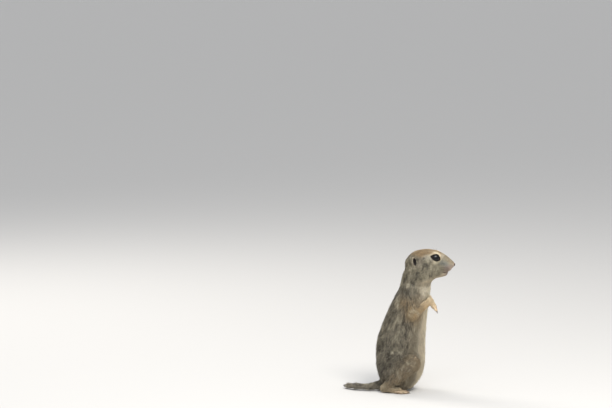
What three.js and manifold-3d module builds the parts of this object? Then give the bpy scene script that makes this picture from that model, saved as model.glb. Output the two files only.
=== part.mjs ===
// A young European ground squirrel that sits up on its hind feet, life size, in millimetres.
// +X is the way it faces, +Y its left side and +Z up. The floor is at z = 0.
import * as THREE from "three";
import { LoftGeometry } from "three/addons/geometries/LoftGeometry.js";
import { SimplifyModifier } from "three/addons/modifiers/SimplifyModifier.js";
import { mergeVertices } from "three/addons/utils/BufferGeometryUtils.js";
import Module from "manifold-3d";

const wasm = await Module();
wasm.setup();

// Driving sizes of the coat's outer surface
const FLOOR = 0;
const SEAM = 0.3; // space between two nodes that meet
const FIELD_STEP = 0.9; // spacing of the points where the body's surface is found
const BODY_TRIANGLES = 2000;
const HEAD_TRIANGLES = 1600;

// The trunk from rump to nape: at each height its back, its front and its half width
const TRUNK = [
  { at: 0.5, back: -10, front: 6, side: 11 },
  { at: 5, back: -15.5, front: 12.5, side: 15 },
  { at: 11, back: -18.8, front: 18, side: 17.5 },
  { at: 19, back: -21.2, front: 21.8, side: 19 },
  { at: 29, back: -22.4, front: 23.4, side: 20 },
  { at: 40, back: -22.4, front: 23.6, side: 20.6 },
  { at: 50, back: -20.8, front: 23.8, side: 20.4 },
  { at: 60, back: -17.4, front: 24.4, side: 19.4 },
  { at: 70, back: -13.4, front: 25.2, side: 18.2 },
  { at: 80, back: -9.0, front: 26.4, side: 16.8 },
  { at: 88, back: -5.0, front: 27.4, side: 15.4 },
  { at: 96, back: -1.4, front: 28.8, side: 14.0 },
  { at: 104, back: 1.1, front: 29.2, side: 13.4 },
  { at: 114, back: 5.2, front: 27.0, side: 12.0 },
];
const TRUNK_END_ROUND = 6;

// The head from nape to nose: at each x its top, its underside and its half width
const HEAD = [
  { at: 4.5, back: 103, front: 120.2, side: 9.8 },
  { at: 9, back: 100.8, front: 126.2, side: 12.5 },
  { at: 14, back: 99.8, front: 129.7, side: 14.1 },
  { at: 20, back: 100.2, front: 131.2, side: 14.8 },
  { at: 26, back: 101.6, front: 131.6, side: 14.4 },
  { at: 31, back: 103.4, front: 130.7, side: 13.0 },
  { at: 36, back: 106.0, front: 129.1, side: 10.2 },
  { at: 40, back: 108.6, front: 127.1, side: 7.9 },
  { at: 44, back: 111.4, front: 124.1, side: 5.8 },
  { at: 47, back: 113.8, front: 121.5, side: 4.2 },
  { at: 49.3, back: 115.4, front: 119.6, side: 2.9 },
];
const HEAD_END_ROUND = 2;
const CROWN_TAPER = 0.13; // how much narrower the crown is than the middle of the head
const HEAD_TURN = THREE.MathUtils.degToRad(8); // to its own left
const HEAD_PIVOT = [12, 0];

// Rounded forms of the face, each placed for the left side: centre, radii and blend
const FACE = [
  { name: "cheek", centre: [21, 8.5, 109.5], radii: [10.5, 6.8, 8.5], blend: 4 },
  { name: "whisker_pad", centre: [42.3, 3.2, 114.2], radii: [4.6, 3.1, 3.5], blend: 2 },
  { name: "chin", centre: [38.0, 0, 108.9], radii: [5.2, 3.3, 2.6], blend: 2.5 },
  { name: "brow", centre: [29.5, 7.2, 127.8], radii: [6.2, 2.4, 1.7], blend: 3 },
  { name: "nose_tip", centre: [48.4, 0, 117.3], radii: [2.0, 2.5, 2.0], blend: 1.5 },
];

// Eyes
const EYE = { centre: [31.8, 6.6, 123.9], radius: 4.9 };
const EYE_RADII = [EYE.radius, EYE.radius, EYE.radius];
const EYE_OUTWARD = new THREE.Vector3(0.28, 0.94, 0.18).normalize();
const LID = 0.8; // how far the lids stand out from the eyeball
const EYE_OPENING = { length: 9.2, height: 6.6, depth: 12, tilt: THREE.MathUtils.degToRad(-17) };

// Ears
const EAR = { centre: [13.2, 12.1, 121.2], radii: [2.8, 2.7, 4.6] };
const EAR_CUP = { shift: [1.2, 1.5, -0.3], radii: [2.0, 2.3, 3.6] };
const EAR_TILT = THREE.MathUtils.degToRad(-12);

// Nose and mouth, placed for the left side on the head's surface
const NOSE_PAD = { centre: [49.3, 0, 117.2], radii: [1.9, 2.4, 1.8] };
const NOSTRIL = { centre: [50.1, 1.25, 117.0], radii: [1.1, 0.55, 0.7] };
const MOUTH_LINE = [
  [47.0, 112.9],
  [45.0, 111.6],
  [42.6, 110.9],
  [40.2, 110.5],
  [38.2, 111.1],
];
const MOUTH_RADII = [0.4, 0.4, 0.45, 0.3];

// Legs: joints on the left side, with the radius of the limb there
const LEG_STEP = { left: -2.5, right: 0 }; // how far each leg is put forward
const HIP = { at: [-3.5, 12.5, 27], radii: [16.6, 10.5, 16.5], radius: 9 };
const KNEE = { at: [13.5, 17.8, 28], radius: 8.2 };
const SHIN = { at: [0, 16.8, 15], radius: 6.6 };
const HEEL = { at: [-11.5, 15.6, 4.2], radius: 3.8 };
const BALL = { at: [1.6, 16.6, 2.6], radius: 3.3 };
const LEG_JOINTS = [KNEE, SHIN, HEEL, BALL];

// Arms: joints on the left side, with the radius of the limb there
const ARM_STEP = { left: -3.6, right: 0.9 }; // how far each forepaw is held forward
const SHOULDER = { at: [10.5, 10.7, 88], radii: [8.5, 6.4, 11.5], radius: 5.6 };
const ELBOW = { at: [14.5, 15.4, 73.5], radius: 4.8 };
const WRIST = { at: [28.2, 8.8, 84.8], radius: 3.1 };
const KNUCKLES = { at: [31.8, 7.8, 79.8], radius: 2.5 };

// Tail, laid along the floor and curving to the right
const TAIL = [
  { at: [-10, 0, 11], radius: 6.5 },
  { at: [-18, -3.6, 5.4], radius: 4.6 },
  { at: [-27.5, -7.6, 3.5], radius: 3.6 },
  { at: [-38.5, -7.0, 3.3], radius: 3.5 },
  { at: [-47, -3.2, 3.0], radius: 3.1 },
  { at: [-51.5, 0.2, 2.4], radius: 2.0 },
];

// Toes and fingers: side to side place, fore and aft place, spread and length
const TOES = [
  { across: -3.1, along: -2.2, spread: -13, length: 5.0 },
  { across: -1.6, along: 0.2, spread: -6, length: 6.4 },
  { across: 0, along: 0.8, spread: 0, length: 6.8 },
  { across: 1.6, along: 0.2, spread: 6, length: 6.4 },
  { across: 3.1, along: -1.8, spread: 13, length: 5.2 },
];
const TOE_RADIUS = 1.2;
const FINGERS = [
  { across: -2.1, along: -0.5, spread: -12, length: 3.6 },
  { across: -0.8, along: 0, spread: -4, length: 4.4 },
  { across: 0.7, along: 0, spread: 4, length: 4.2 },
  { across: 2.0, along: -0.4, spread: 12, length: 3.4 },
];
const FINGER_RADIUS = 0.95;
const CLAW = { length: 2.4, radii: [0.5, 0.4, 0.15], line: [[0.6, 0.08], [1.12, 0.35]] };
const TOE_LIFT = 0.35; // how far the toes' roots are above their radius
const TOE_FORWARD = 1; // how far they are before the ball of the foot

// How wide the fillets are where one form runs into the next
const FILLET = {
  head: 5,
  lids: 1.2,
  thigh: 6,
  calf: 2,
  knee: 3,
  foot: 2,
  leg: 3,
  shoulder: 4,
  elbow: 2,
  wrist: 1.5,
  arm: 3,
  tailJoint: 1.5,
  tail: 3,
};

// Where the body is parted into nodes. Spare is how far a region reaches past the limb's own radii
const FOOT_REGION = { past: 4, width: 13, top: 6.6, side: 16.2 };
const CALF_REGION = { behindKnee: 3, top: 15, spare: [2.6, 1.2, 3] };
const THIGH_REGION = { behindKnee: 10.5, side: 19, height: 29, radii: [23.5, 12.5, 17] };
const PAW_REGION = { past: [1.5, 0, -3], radii: [4.4, 4.6, 4.6] };
const FOREARM_SPARE = [0.9, 1.6];
const UPPER_ARM_REGION = { top: [10.5, 14, 92], radius: 8, spare: 2.4 };
const FACE_CUT = { at: [14, 0, 106.5], way: [0.3, 0, 0.95] };
const NECK_CUT = { at: [12, 0, 92], way: [0.3, 0, 0.95] };
const CHEST_CUT = { at: [5, 0, 56], way: [0.25, 0, 0.97] };
const TAIL_TOP = 13; // height that the tail's regions reach up to
const TAIL_CUTS = [
  { name: "tail_tip", at: [-41, -6, 3], way: [-1, 0.35, 0] },
  { name: "tail_middle", at: [-30, -7.5, 3], way: [-1, 0, 0] },
  { name: "tail_base", at: [-18.6, -4, 4], way: [-1, -0.45, -0.35] },
];

const COLOURS = {
  coat: 0x7d7462,
  buff: 0xa48a5f,
  crown: 0x9a8163,
  tail: 0x6f675a,
  foot: 0xa39176,
  eye: 0x0b0a0a,
  nose: 0x4a3a33,
};

// The smooth curve through a table's rows, read every quarter millimetre
const TABLE_STEPS = 4;
const SPLINE_STEPS = 24;
function smoothTable(rows) {
  const first = rows[0].at;
  const last = rows.at(-1).at;
  const read = (key) => {
    const curve = new THREE.SplineCurve(rows.map((row) => new THREE.Vector2(row.at, row[key])));
    const points = curve.getPoints(rows.length * SPLINE_STEPS);
    const values = [];
    let next = 0;
    for (let step = 0; step <= (last - first) * TABLE_STEPS; step++) {
      const at = first + step / TABLE_STEPS;
      while (next < points.length - 2 && points[next + 1].x < at) next++;
      const share = (at - points[next].x) / (points[next + 1].x - points[next].x);
      values.push(THREE.MathUtils.lerp(points[next].y, points[next + 1].y, share));
    }
    return values;
  };
  const columns = { back: read("back"), front: read("front"), side: read("side") };
  return (key, at) => {
    const column = columns[key];
    const place = THREE.MathUtils.clamp((at - first) * TABLE_STEPS, 0, column.length - 1.001);
    const cell = Math.floor(place);
    return THREE.MathUtils.lerp(column[cell], column[cell + 1], place - cell);
  };
}
const trunkTable = smoothTable(TRUNK);
const headTable = smoothTable(HEAD);

// Distances to simple forms, below zero inside them
function blend(a, b, width) {
  const near = Math.max(width - Math.abs(a - b), 0) / width;
  return Math.min(a, b) - (near * near * width) / 4;
}

function ellipsoidDistance(x, y, z, centre, radii) {
  const dx = x - centre[0];
  const dy = y - centre[1];
  const dz = z - centre[2];
  const reach = Math.hypot(dx / radii[0], dy / radii[1], dz / radii[2]);
  const slope = Math.hypot(dx / radii[0] ** 2, dy / radii[1] ** 2, dz / radii[2] ** 2);
  return slope > 0 ? (reach * (reach - 1)) / slope : -Math.min(...radii);
}

function limbDistance(x, y, z, start, end) {
  const [ax, ay, az] = start.at;
  const bx = end.at[0] - ax;
  const by = end.at[1] - ay;
  const bz = end.at[2] - az;
  const along = ((x - ax) * bx + (y - ay) * by + (z - az) * bz) / (bx * bx + by * by + bz * bz);
  const share = THREE.MathUtils.clamp(along, 0, 1);
  const gap = Math.hypot(x - ax - bx * share, y - ay - by * share, z - az - bz * share);
  return gap - THREE.MathUtils.lerp(start.radius, end.radius, share);
}

// An oval section with rounded ends: u and v lie across it, beyond is how far it is past the ends
function sectionDistance(u, v, beyond, halfU, halfV, round) {
  const a = halfU - round;
  const b = halfV - round;
  const reach = Math.hypot(u / a, v / b);
  const slope = Math.hypot(u / (a * a), v / (b * b));
  const flat = slope > 0 ? (reach * (reach - 1)) / slope : -Math.min(a, b);
  const outside = Math.hypot(Math.max(flat, 0), Math.max(beyond, 0));
  return outside + Math.min(Math.max(flat, beyond), 0) - round;
}

function pastEnds(rows, round, at) {
  return Math.max(rows[0].at + round - at, at - rows.at(-1).at + round);
}

function trunkDistance(x, y, z) {
  const read = THREE.MathUtils.clamp(z, TRUNK[0].at, TRUNK.at(-1).at);
  const back = trunkTable("back", read);
  const front = trunkTable("front", read);
  const half = (front - back) / 2;
  const beyond = pastEnds(TRUNK, TRUNK_END_ROUND, z);
  const side = trunkTable("side", read);
  return sectionDistance(x - (front + back) / 2, y, beyond, half, side, TRUNK_END_ROUND);
}

function skullDistance(x, y, z) {
  const read = THREE.MathUtils.clamp(x, HEAD[0].at, HEAD.at(-1).at);
  const under = headTable("back", read);
  const top = headTable("front", read);
  const half = (top - under) / 2;
  const rise = THREE.MathUtils.clamp((z - (top + under) / 2) / half, -1, 1);
  const side = headTable("side", read) * (1 - CROWN_TAPER * rise);
  const beyond = pastEnds(HEAD, HEAD_END_ROUND, x);
  return sectionDistance(z - (top + under) / 2, y, beyond, half, side, HEAD_END_ROUND);
}

// A point of the body in the head's own frame, before the head is turned
function toHead(x, y) {
  const dx = x - HEAD_PIVOT[0];
  const dy = y - HEAD_PIVOT[1];
  const cos = Math.cos(HEAD_TURN);
  const sin = Math.sin(HEAD_TURN);
  return [HEAD_PIVOT[0] + dx * cos + dy * sin, HEAD_PIVOT[1] - dx * sin + dy * cos];
}

function headDistance(bodyX, bodyY, z) {
  const [x, y] = toHead(bodyX, bodyY);
  let distance = skullDistance(x, y, z);
  for (const form of FACE)
    distance = blend(distance, ellipsoidDistance(x, Math.abs(y), z, form.centre, form.radii), form.blend);
  const fromEye = Math.hypot(x - EYE.centre[0], Math.abs(y) - EYE.centre[1], z - EYE.centre[2]);
  return blend(distance, fromEye - EYE.radius - LID, FILLET.lids);
}

// A joint of the left side's list, moved fore or aft as its own side has it
function stepped(joint, step, side) {
  const forward = side > 0 ? step.left : step.right;
  return { ...joint, at: [joint.at[0] + forward, joint.at[1], joint.at[2]] };
}

function legDistance(x, y, z, side) {
  const [knee, shin, heel, footBall] = LEG_JOINTS.map((joint) => stepped(joint, LEG_STEP, side));
  const hip = ellipsoidDistance(x, y, z, HIP.at, HIP.radii);
  const thigh = blend(hip, limbDistance(x, y, z, HIP, knee), FILLET.thigh);
  const calf = blend(limbDistance(x, y, z, knee, shin), limbDistance(x, y, z, shin, heel), FILLET.calf);
  const leg = blend(thigh, calf, FILLET.knee);
  return blend(leg, limbDistance(x, y, z, heel, footBall), FILLET.foot);
}

function armDistance(x, y, z, side) {
  const wrist = stepped(WRIST, ARM_STEP, side);
  const knuckles = stepped(KNUCKLES, ARM_STEP, side);
  const shoulder = ellipsoidDistance(x, y, z, SHOULDER.at, SHOULDER.radii);
  const upper = blend(shoulder, limbDistance(x, y, z, SHOULDER, ELBOW), FILLET.shoulder);
  const fore = blend(upper, limbDistance(x, y, z, ELBOW, wrist), FILLET.elbow);
  return blend(fore, limbDistance(x, y, z, wrist, knuckles), FILLET.wrist);
}

function tailDistance(x, y, z) {
  let distance = limbDistance(x, y, z, TAIL[0], TAIL[1]);
  for (let joint = 1; joint < TAIL.length - 1; joint++)
    distance = blend(distance, limbDistance(x, y, z, TAIL[joint], TAIL[joint + 1]), FILLET.tailJoint);
  return distance;
}

function coatDistance(x, y, z) {
  const side = Math.sign(y) || 1;
  let distance = blend(trunkDistance(x, y, z), headDistance(x, y, z), FILLET.head);
  distance = blend(distance, legDistance(x, Math.abs(y), z, side), FILLET.leg);
  distance = blend(distance, armDistance(x, Math.abs(y), z, side), FILLET.arm);
  return blend(distance, tailDistance(x, y, z), FILLET.tail);
}

// The closed surface where a distance is zero: one vertex in each cell that the surface crosses
function surfaceOf(distance, low, high, step) {
  const [nx, ny, nz] = low.map((from, axis) => Math.ceil((high[axis] - from) / step) + 1);
  const at = (i, j, k) => (k * ny + j) * nx + i;
  const values = new Float32Array(nx * ny * nz);
  for (let k = 0; k < nz; k++)
    for (let j = 0; j < ny; j++)
      for (let i = 0; i < nx; i++)
        values[at(i, j, k)] = distance(low[0] + i * step, low[1] + j * step, low[2] + k * step);
  const vertexOf = new Int32Array(nx * ny * nz).fill(-1);
  const positions = [];
  const corners = [0, 1, 2, 3, 4, 5, 6, 7].map((n) => [n & 1, (n >> 1) & 1, n >> 2]);
  const edges = corners.flatMap((from, n) =>
    [1, 2, 4].filter((bit) => !(n & bit)).map((bit) => [from, corners[n | bit]]),
  );
  for (let k = 0; k < nz - 1; k++)
    for (let j = 0; j < ny - 1; j++)
      for (let i = 0; i < nx - 1; i++) {
        const sum = [0, 0, 0];
        let crossings = 0;
        for (const [from, to] of edges) {
          const a = values[at(i + from[0], j + from[1], k + from[2])];
          const b = values[at(i + to[0], j + to[1], k + to[2])];
          if (a < 0 === b < 0) continue;
          const share = a / (a - b);
          for (let axis = 0; axis < 3; axis++) sum[axis] += from[axis] + (to[axis] - from[axis]) * share;
          crossings++;
        }
        if (!crossings) continue;
        vertexOf[at(i, j, k)] = positions.length / 3;
        [i, j, k].forEach((cell, axis) => positions.push(low[axis] + (cell + sum[axis] / crossings) * step));
      }
  const index = [];
  const quad = (a, b, c, d, flip) => index.push(...(flip ? [a, c, b, a, d, c] : [a, b, c, a, c, d]));
  for (let k = 1; k < nz - 1; k++)
    for (let j = 1; j < ny - 1; j++)
      for (let i = 1; i < nx - 1; i++) {
        const inside = values[at(i, j, k)] < 0;
        const cell = (di, dj, dk) => vertexOf[at(i - di, j - dj, k - dk)];
        if (inside !== values[at(i + 1, j, k)] < 0)
          quad(cell(0, 1, 1), cell(0, 0, 1), cell(0, 0, 0), cell(0, 1, 0), !inside);
        if (inside !== values[at(i, j + 1, k)] < 0)
          quad(cell(1, 0, 1), cell(1, 0, 0), cell(0, 0, 0), cell(0, 0, 1), !inside);
        if (inside !== values[at(i, j, k + 1)] < 0)
          quad(cell(1, 1, 0), cell(0, 1, 0), cell(0, 0, 0), cell(1, 0, 0), !inside);
      }
  const geometry = new THREE.BufferGeometry();
  geometry.setAttribute("position", new THREE.Float32BufferAttribute(positions, 3));
  geometry.setIndex(index);
  return geometry;
}

// Between three.js geometry and closed solids
function solidOf(geometry) {
  const bare = new THREE.BufferGeometry();
  bare.setAttribute("position", geometry.attributes.position);
  bare.setIndex(geometry.index);
  const merged = mergeVertices(bare, 1e-4);
  return new wasm.Manifold(
    new wasm.Mesh({
      numProp: 3,
      vertProperties: merged.attributes.position.array,
      triVerts: new Uint32Array(merged.index.array),
    }),
  );
}

function geometryOf(solid) {
  const mesh = solid.getMesh();
  const geometry = new THREE.BufferGeometry();
  geometry.setAttribute("position", new THREE.BufferAttribute(new Float32Array(mesh.vertProperties), 3));
  geometry.setIndex(new THREE.BufferAttribute(new Uint32Array(mesh.triVerts), 1));
  return geometry;
}

function largest(solid) {
  return solid.decompose().reduce((best, piece) => (piece.volume() > best.volume() ? piece : best));
}

async function simplified(solid, triangles) {
  const geometry = geometryOf(solid);
  const spare = geometry.attributes.position.count * (1 - (triangles * 3) / geometry.index.count);
  return solidOf(await new SimplifyModifier().modify(geometry, Math.max(0, Math.round(spare))));
}

// Simple solids to join and to cut with
const UP = new THREE.Vector3(0, 0, 1);
function halfSpace({ at, way }, offset = 0) {
  const size = 240;
  const box = new THREE.BoxGeometry(size, size, size).translate(0, 0, size / 2 + offset);
  const turn = new THREE.Quaternion().setFromUnitVectors(UP, new THREE.Vector3(...way).normalize());
  return solidOf(box.applyQuaternion(turn).translate(...at));
}
const ABOVE_FLOOR = { at: [0, 0, FLOOR], way: [0, 0, 1] };

function ball(centre, radii, grow = 0, detail = 20) {
  const sphere = new THREE.SphereGeometry(1, detail, Math.round(detail * 0.6));
  return solidOf(sphere.scale(...radii.map((radius) => radius + grow)).translate(...centre));
}

function taperedTube(points, radii, sides = 8, steps = 6, roundRings = 2) {
  const curve = new THREE.CatmullRomCurve3(points.map((point) => new THREE.Vector3(...point)));
  const frames = curve.computeFrenetFrames(steps, false);
  const stations = [];
  const radiusAt = (share) => {
    const place = share * (radii.length - 1);
    const cell = Math.min(Math.floor(place), radii.length - 2);
    return THREE.MathUtils.lerp(radii[cell], radii[cell + 1], place - cell);
  };
  const station = (step, lift, shrink) => {
    const radius = radiusAt(step / steps);
    const centre = curve.getPointAt(step / steps).addScaledVector(frames.tangents[step], lift * radius);
    const [normal, cross] = [frames.normals[step], frames.binormals[step]];
    stations.push({ centre, radius: radius * shrink, normal, cross });
  };
  const arcs = Array.from({ length: roundRings }, (_, ring) => ((ring + 0.35) / roundRings) * (Math.PI / 2));
  for (const arc of arcs) station(0, -Math.cos(arc), Math.sin(arc));
  for (let step = 0; step <= steps; step++) station(step, 0, 1);
  for (const arc of [...arcs].reverse()) station(steps, Math.cos(arc), Math.sin(arc));
  const sections = stations.map(({ centre, radius, normal, cross }) =>
    Array.from({ length: sides }, (_, side) => {
      const angle = (side / sides) * Math.PI * 2;
      return centre
        .clone()
        .addScaledVector(normal, Math.cos(angle) * radius)
        .addScaledVector(cross, Math.sin(angle) * radius);
    }),
  );
  const closed = { capStart: true, capEnd: true };
  const tube = solidOf(new LoftGeometry(sections, closed));
  if (tube.volume() > 0) return tube;
  return solidOf(new LoftGeometry(sections.map((section) => section.reverse()), closed));
}

// Cuts a region out of a solid and leaves a seam round it: [what lies in the region, what is left]
function parted(solid, region) {
  return [largest(solid.intersect(region(0))), largest(solid.subtract(region(SEAM)))];
}

function turnedHead(solid) {
  const mesh = geometryOf(solid);
  const [pivotX, pivotY] = HEAD_PIVOT;
  mesh.translate(-pivotX, -pivotY, 0).rotateZ(HEAD_TURN).translate(pivotX, pivotY, 0);
  return solidOf(mesh);
}

function mirrored(point, side) {
  return [point[0], point[1] * side, point[2]];
}

const material = (colour, roughness = 0.9) =>
  new THREE.MeshStandardMaterial({ color: colour, roughness, metalness: 0 });
const MATERIALS = {
  coat: material(COLOURS.coat),
  buff: material(COLOURS.buff),
  crown: material(COLOURS.crown),
  tail: material(COLOURS.tail),
  foot: material(COLOURS.foot, 0.8),
  eye: material(COLOURS.eye, 0.08),
  nose: material(COLOURS.nose, 0.5),
};
const squirrel = new THREE.Group();
function addNode(name, solid, kind) {
  const mesh = new THREE.Mesh(geometryOf(solid), MATERIALS[kind]);
  mesh.name = name;
  squirrel.add(mesh);
}

// The whole coat, parted at the neck so that the face keeps more triangles, and cut flat at the floor
const FIELD = { low: [-58, -34, -6], high: [56, 34, 138] };
const whole = solidOf(surfaceOf(coatDistance, FIELD.low, FIELD.high, FIELD_STEP));
const [fineHead, fineBody] = parted(whole, (grow) => halfSpace(FACE_CUT, -grow));
let head = await simplified(fineHead, HEAD_TRIANGLES);
let body = await simplified(fineBody, BODY_TRIANGLES);
body = body.intersect(halfSpace(ABOVE_FLOOR));

const SIDES = { left: 1, right: -1 };

// Digits of a paw: each a short bent finger with its claw. Shares are of its length, drops of its radius
const DIGIT_JOINTS = [
  { share: -0.2, drop: 0, size: 1 },
  { share: 0.35, drop: -0.25, size: 1 },
  { share: 0.72, drop: 0, size: 0.95 },
  { share: 1, drop: 0.3, size: 0.8 },
];
function digits(rows, radius, ballAt, forward, down, side) {
  const across = new THREE.Vector3().crossVectors(down, forward).multiplyScalar(side);
  return rows.flatMap((row) => {
    const spread = THREE.MathUtils.degToRad(row.spread);
    const way = forward.clone().multiplyScalar(Math.cos(spread)).addScaledVector(across, Math.sin(spread));
    const root = new THREE.Vector3(...ballAt)
      .addScaledVector(across, row.across)
      .addScaledVector(forward, row.along);
    const reach = (from, along, drop) =>
      from.clone().addScaledVector(way, along).addScaledVector(down, drop);
    const joints = DIGIT_JOINTS.map(({ share, drop }) => reach(root, row.length * share, radius * drop));
    const tip = joints.at(-1);
    const clawPoint = ([share, drop]) => reach(tip, CLAW.length * share, CLAW.length * drop);
    const clawLine = [tip, ...CLAW.line.map(clawPoint)];
    const sizes = DIGIT_JOINTS.map(({ size }) => radius * size);
    return [
      taperedTube(joints.map((joint) => joint.toArray()), sizes, 5, 2, 1),
      taperedTube(clawLine.map((joint) => joint.toArray()), CLAW.radii, 4, 2, 0),
    ];
  });
}

// Hind feet, lower legs and thighs
for (const [name, side] of Object.entries(SIDES)) {
  const [knee, shin, heel, footBall] = LEG_JOINTS.map((joint) => stepped(joint, LEG_STEP, side));
  const at = (joint) => mirrored(joint.at, side);
  const footRegion = (grow) => {
    const length = footBall.at[0] - heel.at[0] + 2 * HEEL.radius + FOOT_REGION.past;
    const box = new THREE.BoxGeometry(length, FOOT_REGION.width + 2 * grow, 2 * (FOOT_REGION.top + grow));
    return solidOf(box.translate((footBall.at[0] + heel.at[0]) / 2, FOOT_REGION.side * side, 0));
  };
  let foot;
  [foot, body] = parted(body, footRegion);
  const toeRoot = [footBall.at[0] + TOE_FORWARD, footBall.at[1] * side, TOE_RADIUS + TOE_LIFT];
  const toes = digits(TOES, TOE_RADIUS, toeRoot, new THREE.Vector3(1, 0, 0), UP.clone().negate(), side);
  const footAndToes = wasm.Manifold.union([foot, ...toes]).intersect(halfSpace(ABOVE_FLOOR));
  addNode(`hind_foot_${name}`, largest(footAndToes), "foot");

  const calfTop = [knee.at[0] - CALF_REGION.behindKnee, knee.at[1] * side, CALF_REGION.top];
  const calfLine = [calfTop, at(shin), at(heel)];
  const calfRadii = [shin, shin, heel].map((joint, n) => joint.radius + CALF_REGION.spare[n]);
  const calfRegion = (grow) => taperedTube(calfLine, calfRadii.map((radius) => radius + grow), 9, 3, 2);
  let calf;
  [calf, body] = parted(body, calfRegion);
  addNode(`lower_leg_${name}`, calf, "coat");

  const thighAt = [knee.at[0] - THIGH_REGION.behindKnee, THIGH_REGION.side * side, THIGH_REGION.height];
  const thighRegion = (grow) => ball(thighAt, THIGH_REGION.radii, grow, 16);
  let thigh;
  [thigh, body] = parted(body, thighRegion);
  addNode(`thigh_${name}`, thigh, "coat");
}

// Forepaws, forearms and upper arms
for (const [name, side] of Object.entries(SIDES)) {
  const at = (joint) => mirrored(joint.at, side);
  const wrist = at(stepped(WRIST, ARM_STEP, side));
  const knuckles = at(stepped(KNUCKLES, ARM_STEP, side));
  const handWay = new THREE.Vector3(...knuckles).sub(new THREE.Vector3(...wrist)).normalize();
  const pastKnuckles = knuckles.map((value, axis) => value + PAW_REGION.past[axis]);
  const pawRadii = (grow) => PAW_REGION.radii.map((radius) => radius + grow);
  const pawRegion = (grow) => taperedTube([wrist, knuckles, pastKnuckles], pawRadii(grow), 8, 2, 2);
  let paw;
  [paw, body] = parted(body, pawRegion);
  const palmWay = new THREE.Vector3(-handWay.z, 0, handWay.x).multiplyScalar(-1).normalize();
  const fingers = digits(FINGERS, FINGER_RADIUS, knuckles, handWay, palmWay, side);
  addNode(`forepaw_${name}`, largest(wasm.Manifold.union([paw, ...fingers])), "buff");

  const forearmRadii = (grow) => [ELBOW, WRIST].map((joint, n) => joint.radius + FOREARM_SPARE[n] + grow);
  const forearmRegion = (grow) => taperedTube([at(ELBOW), wrist], forearmRadii(grow), 9, 2, 2);
  let forearm;
  [forearm, body] = parted(body, forearmRegion);
  addNode(`forearm_${name}`, forearm, "buff");

  const upperLine = [mirrored(UPPER_ARM_REGION.top, side), at(ELBOW)];
  const upperRadii = [UPPER_ARM_REGION.radius, ELBOW.radius + UPPER_ARM_REGION.spare];
  const upperRegion = (grow) => taperedTube(upperLine, upperRadii.map((radius) => radius + grow), 9, 2, 2);
  let upperArm;
  [upperArm, body] = parted(body, upperRegion);
  addNode(`upper_arm_${name}`, upperArm, "buff");
}

// Tail in three lengths, each parted by a plane across it
for (const cut of TAIL_CUTS) {
  const belowTop = (grow) => halfSpace({ at: [0, 0, TAIL_TOP + grow], way: [0, 0, -1] });
  let length;
  [length, body] = parted(body, (grow) => halfSpace(cut, -grow).intersect(belowTop(grow)));
  addNode(cut.name, length, "tail");
}

// Trunk: neck, chest and belly, parted by planes across the spine
let neck;
let chest;
[neck, body] = parted(body, (grow) => halfSpace(NECK_CUT, -grow));
[chest, body] = parted(body, (grow) => halfSpace(CHEST_CUT, -grow));
addNode("neck", neck, "coat");
addNode("chest", chest, "coat");
addNode("belly", body, "coat");

// Eyes under their lids, with the lids' almond opening
for (const [name, side] of Object.entries(SIDES)) {
  const centre = mirrored(EYE.centre, side);
  const outward = EYE_OUTWARD.clone().multiply(new THREE.Vector3(1, side, 1));
  const almond = new THREE.Shape();
  const half = EYE_OPENING.length / 2;
  const rise = EYE_OPENING.height * 0.62;
  almond.moveTo(-half, 0);
  almond.bezierCurveTo(-half * 0.5, rise, half * 0.45, rise * 1.05, half, 0);
  almond.bezierCurveTo(half * 0.45, -rise, -half * 0.5, -rise * 0.95, -half, 0);
  const straight = { depth: EYE_OPENING.depth, bevelEnabled: false, curveSegments: 4 };
  const prism = new THREE.ExtrudeGeometry(almond, straight);
  const forward = new THREE.Vector3(1, 0, 0).addScaledVector(outward, -outward.x).normalize();
  const upward = new THREE.Vector3().crossVectors(outward, forward).multiplyScalar(side > 0 ? 1 : -1);
  const sideways = new THREE.Vector3().crossVectors(upward, outward);
  const frame = new THREE.Matrix4().makeBasis(sideways, upward, outward);
  prism.rotateZ(EYE_OPENING.tilt * (sideways.x > 0 ? 1 : -1));
  prism.applyMatrix4(frame).translate(...centre);
  const eyeball = ball(centre, EYE_RADII, 0, 14);
  const socket = ball(centre, EYE_RADII, SEAM, 14);
  head = largest(head.subtract(turnedHead(wasm.Manifold.union([socket, solidOf(prism)]))));
  addNode(`eye_${name}`, turnedHead(eyeball), "eye");
}

// Ears: low rounded cups, open forward and outward, each set in the side of the head
for (const [name, side] of Object.entries(SIDES)) {
  const earAt = mirrored(EAR.centre, side);
  const leaning = (solid) => {
    const mesh = geometryOf(solid);
    mesh.translate(...earAt.map((value) => -value)).rotateY(EAR_TILT).translate(...earAt);
    return turnedHead(solidOf(mesh));
  };
  const outer = (grow) => leaning(ball(earAt, EAR.radii, grow, 12));
  const cupAt = earAt.map((value, axis) => value + EAR_CUP.shift[axis] * (axis === 1 ? side : 1));
  const cup = leaning(ball(cupAt, EAR_CUP.radii, 0, 10));
  addNode(`ear_${name}`, largest(outer(0).subtract(cup)), "coat");
  head = largest(head.subtract(outer(SEAM)));
}

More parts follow.
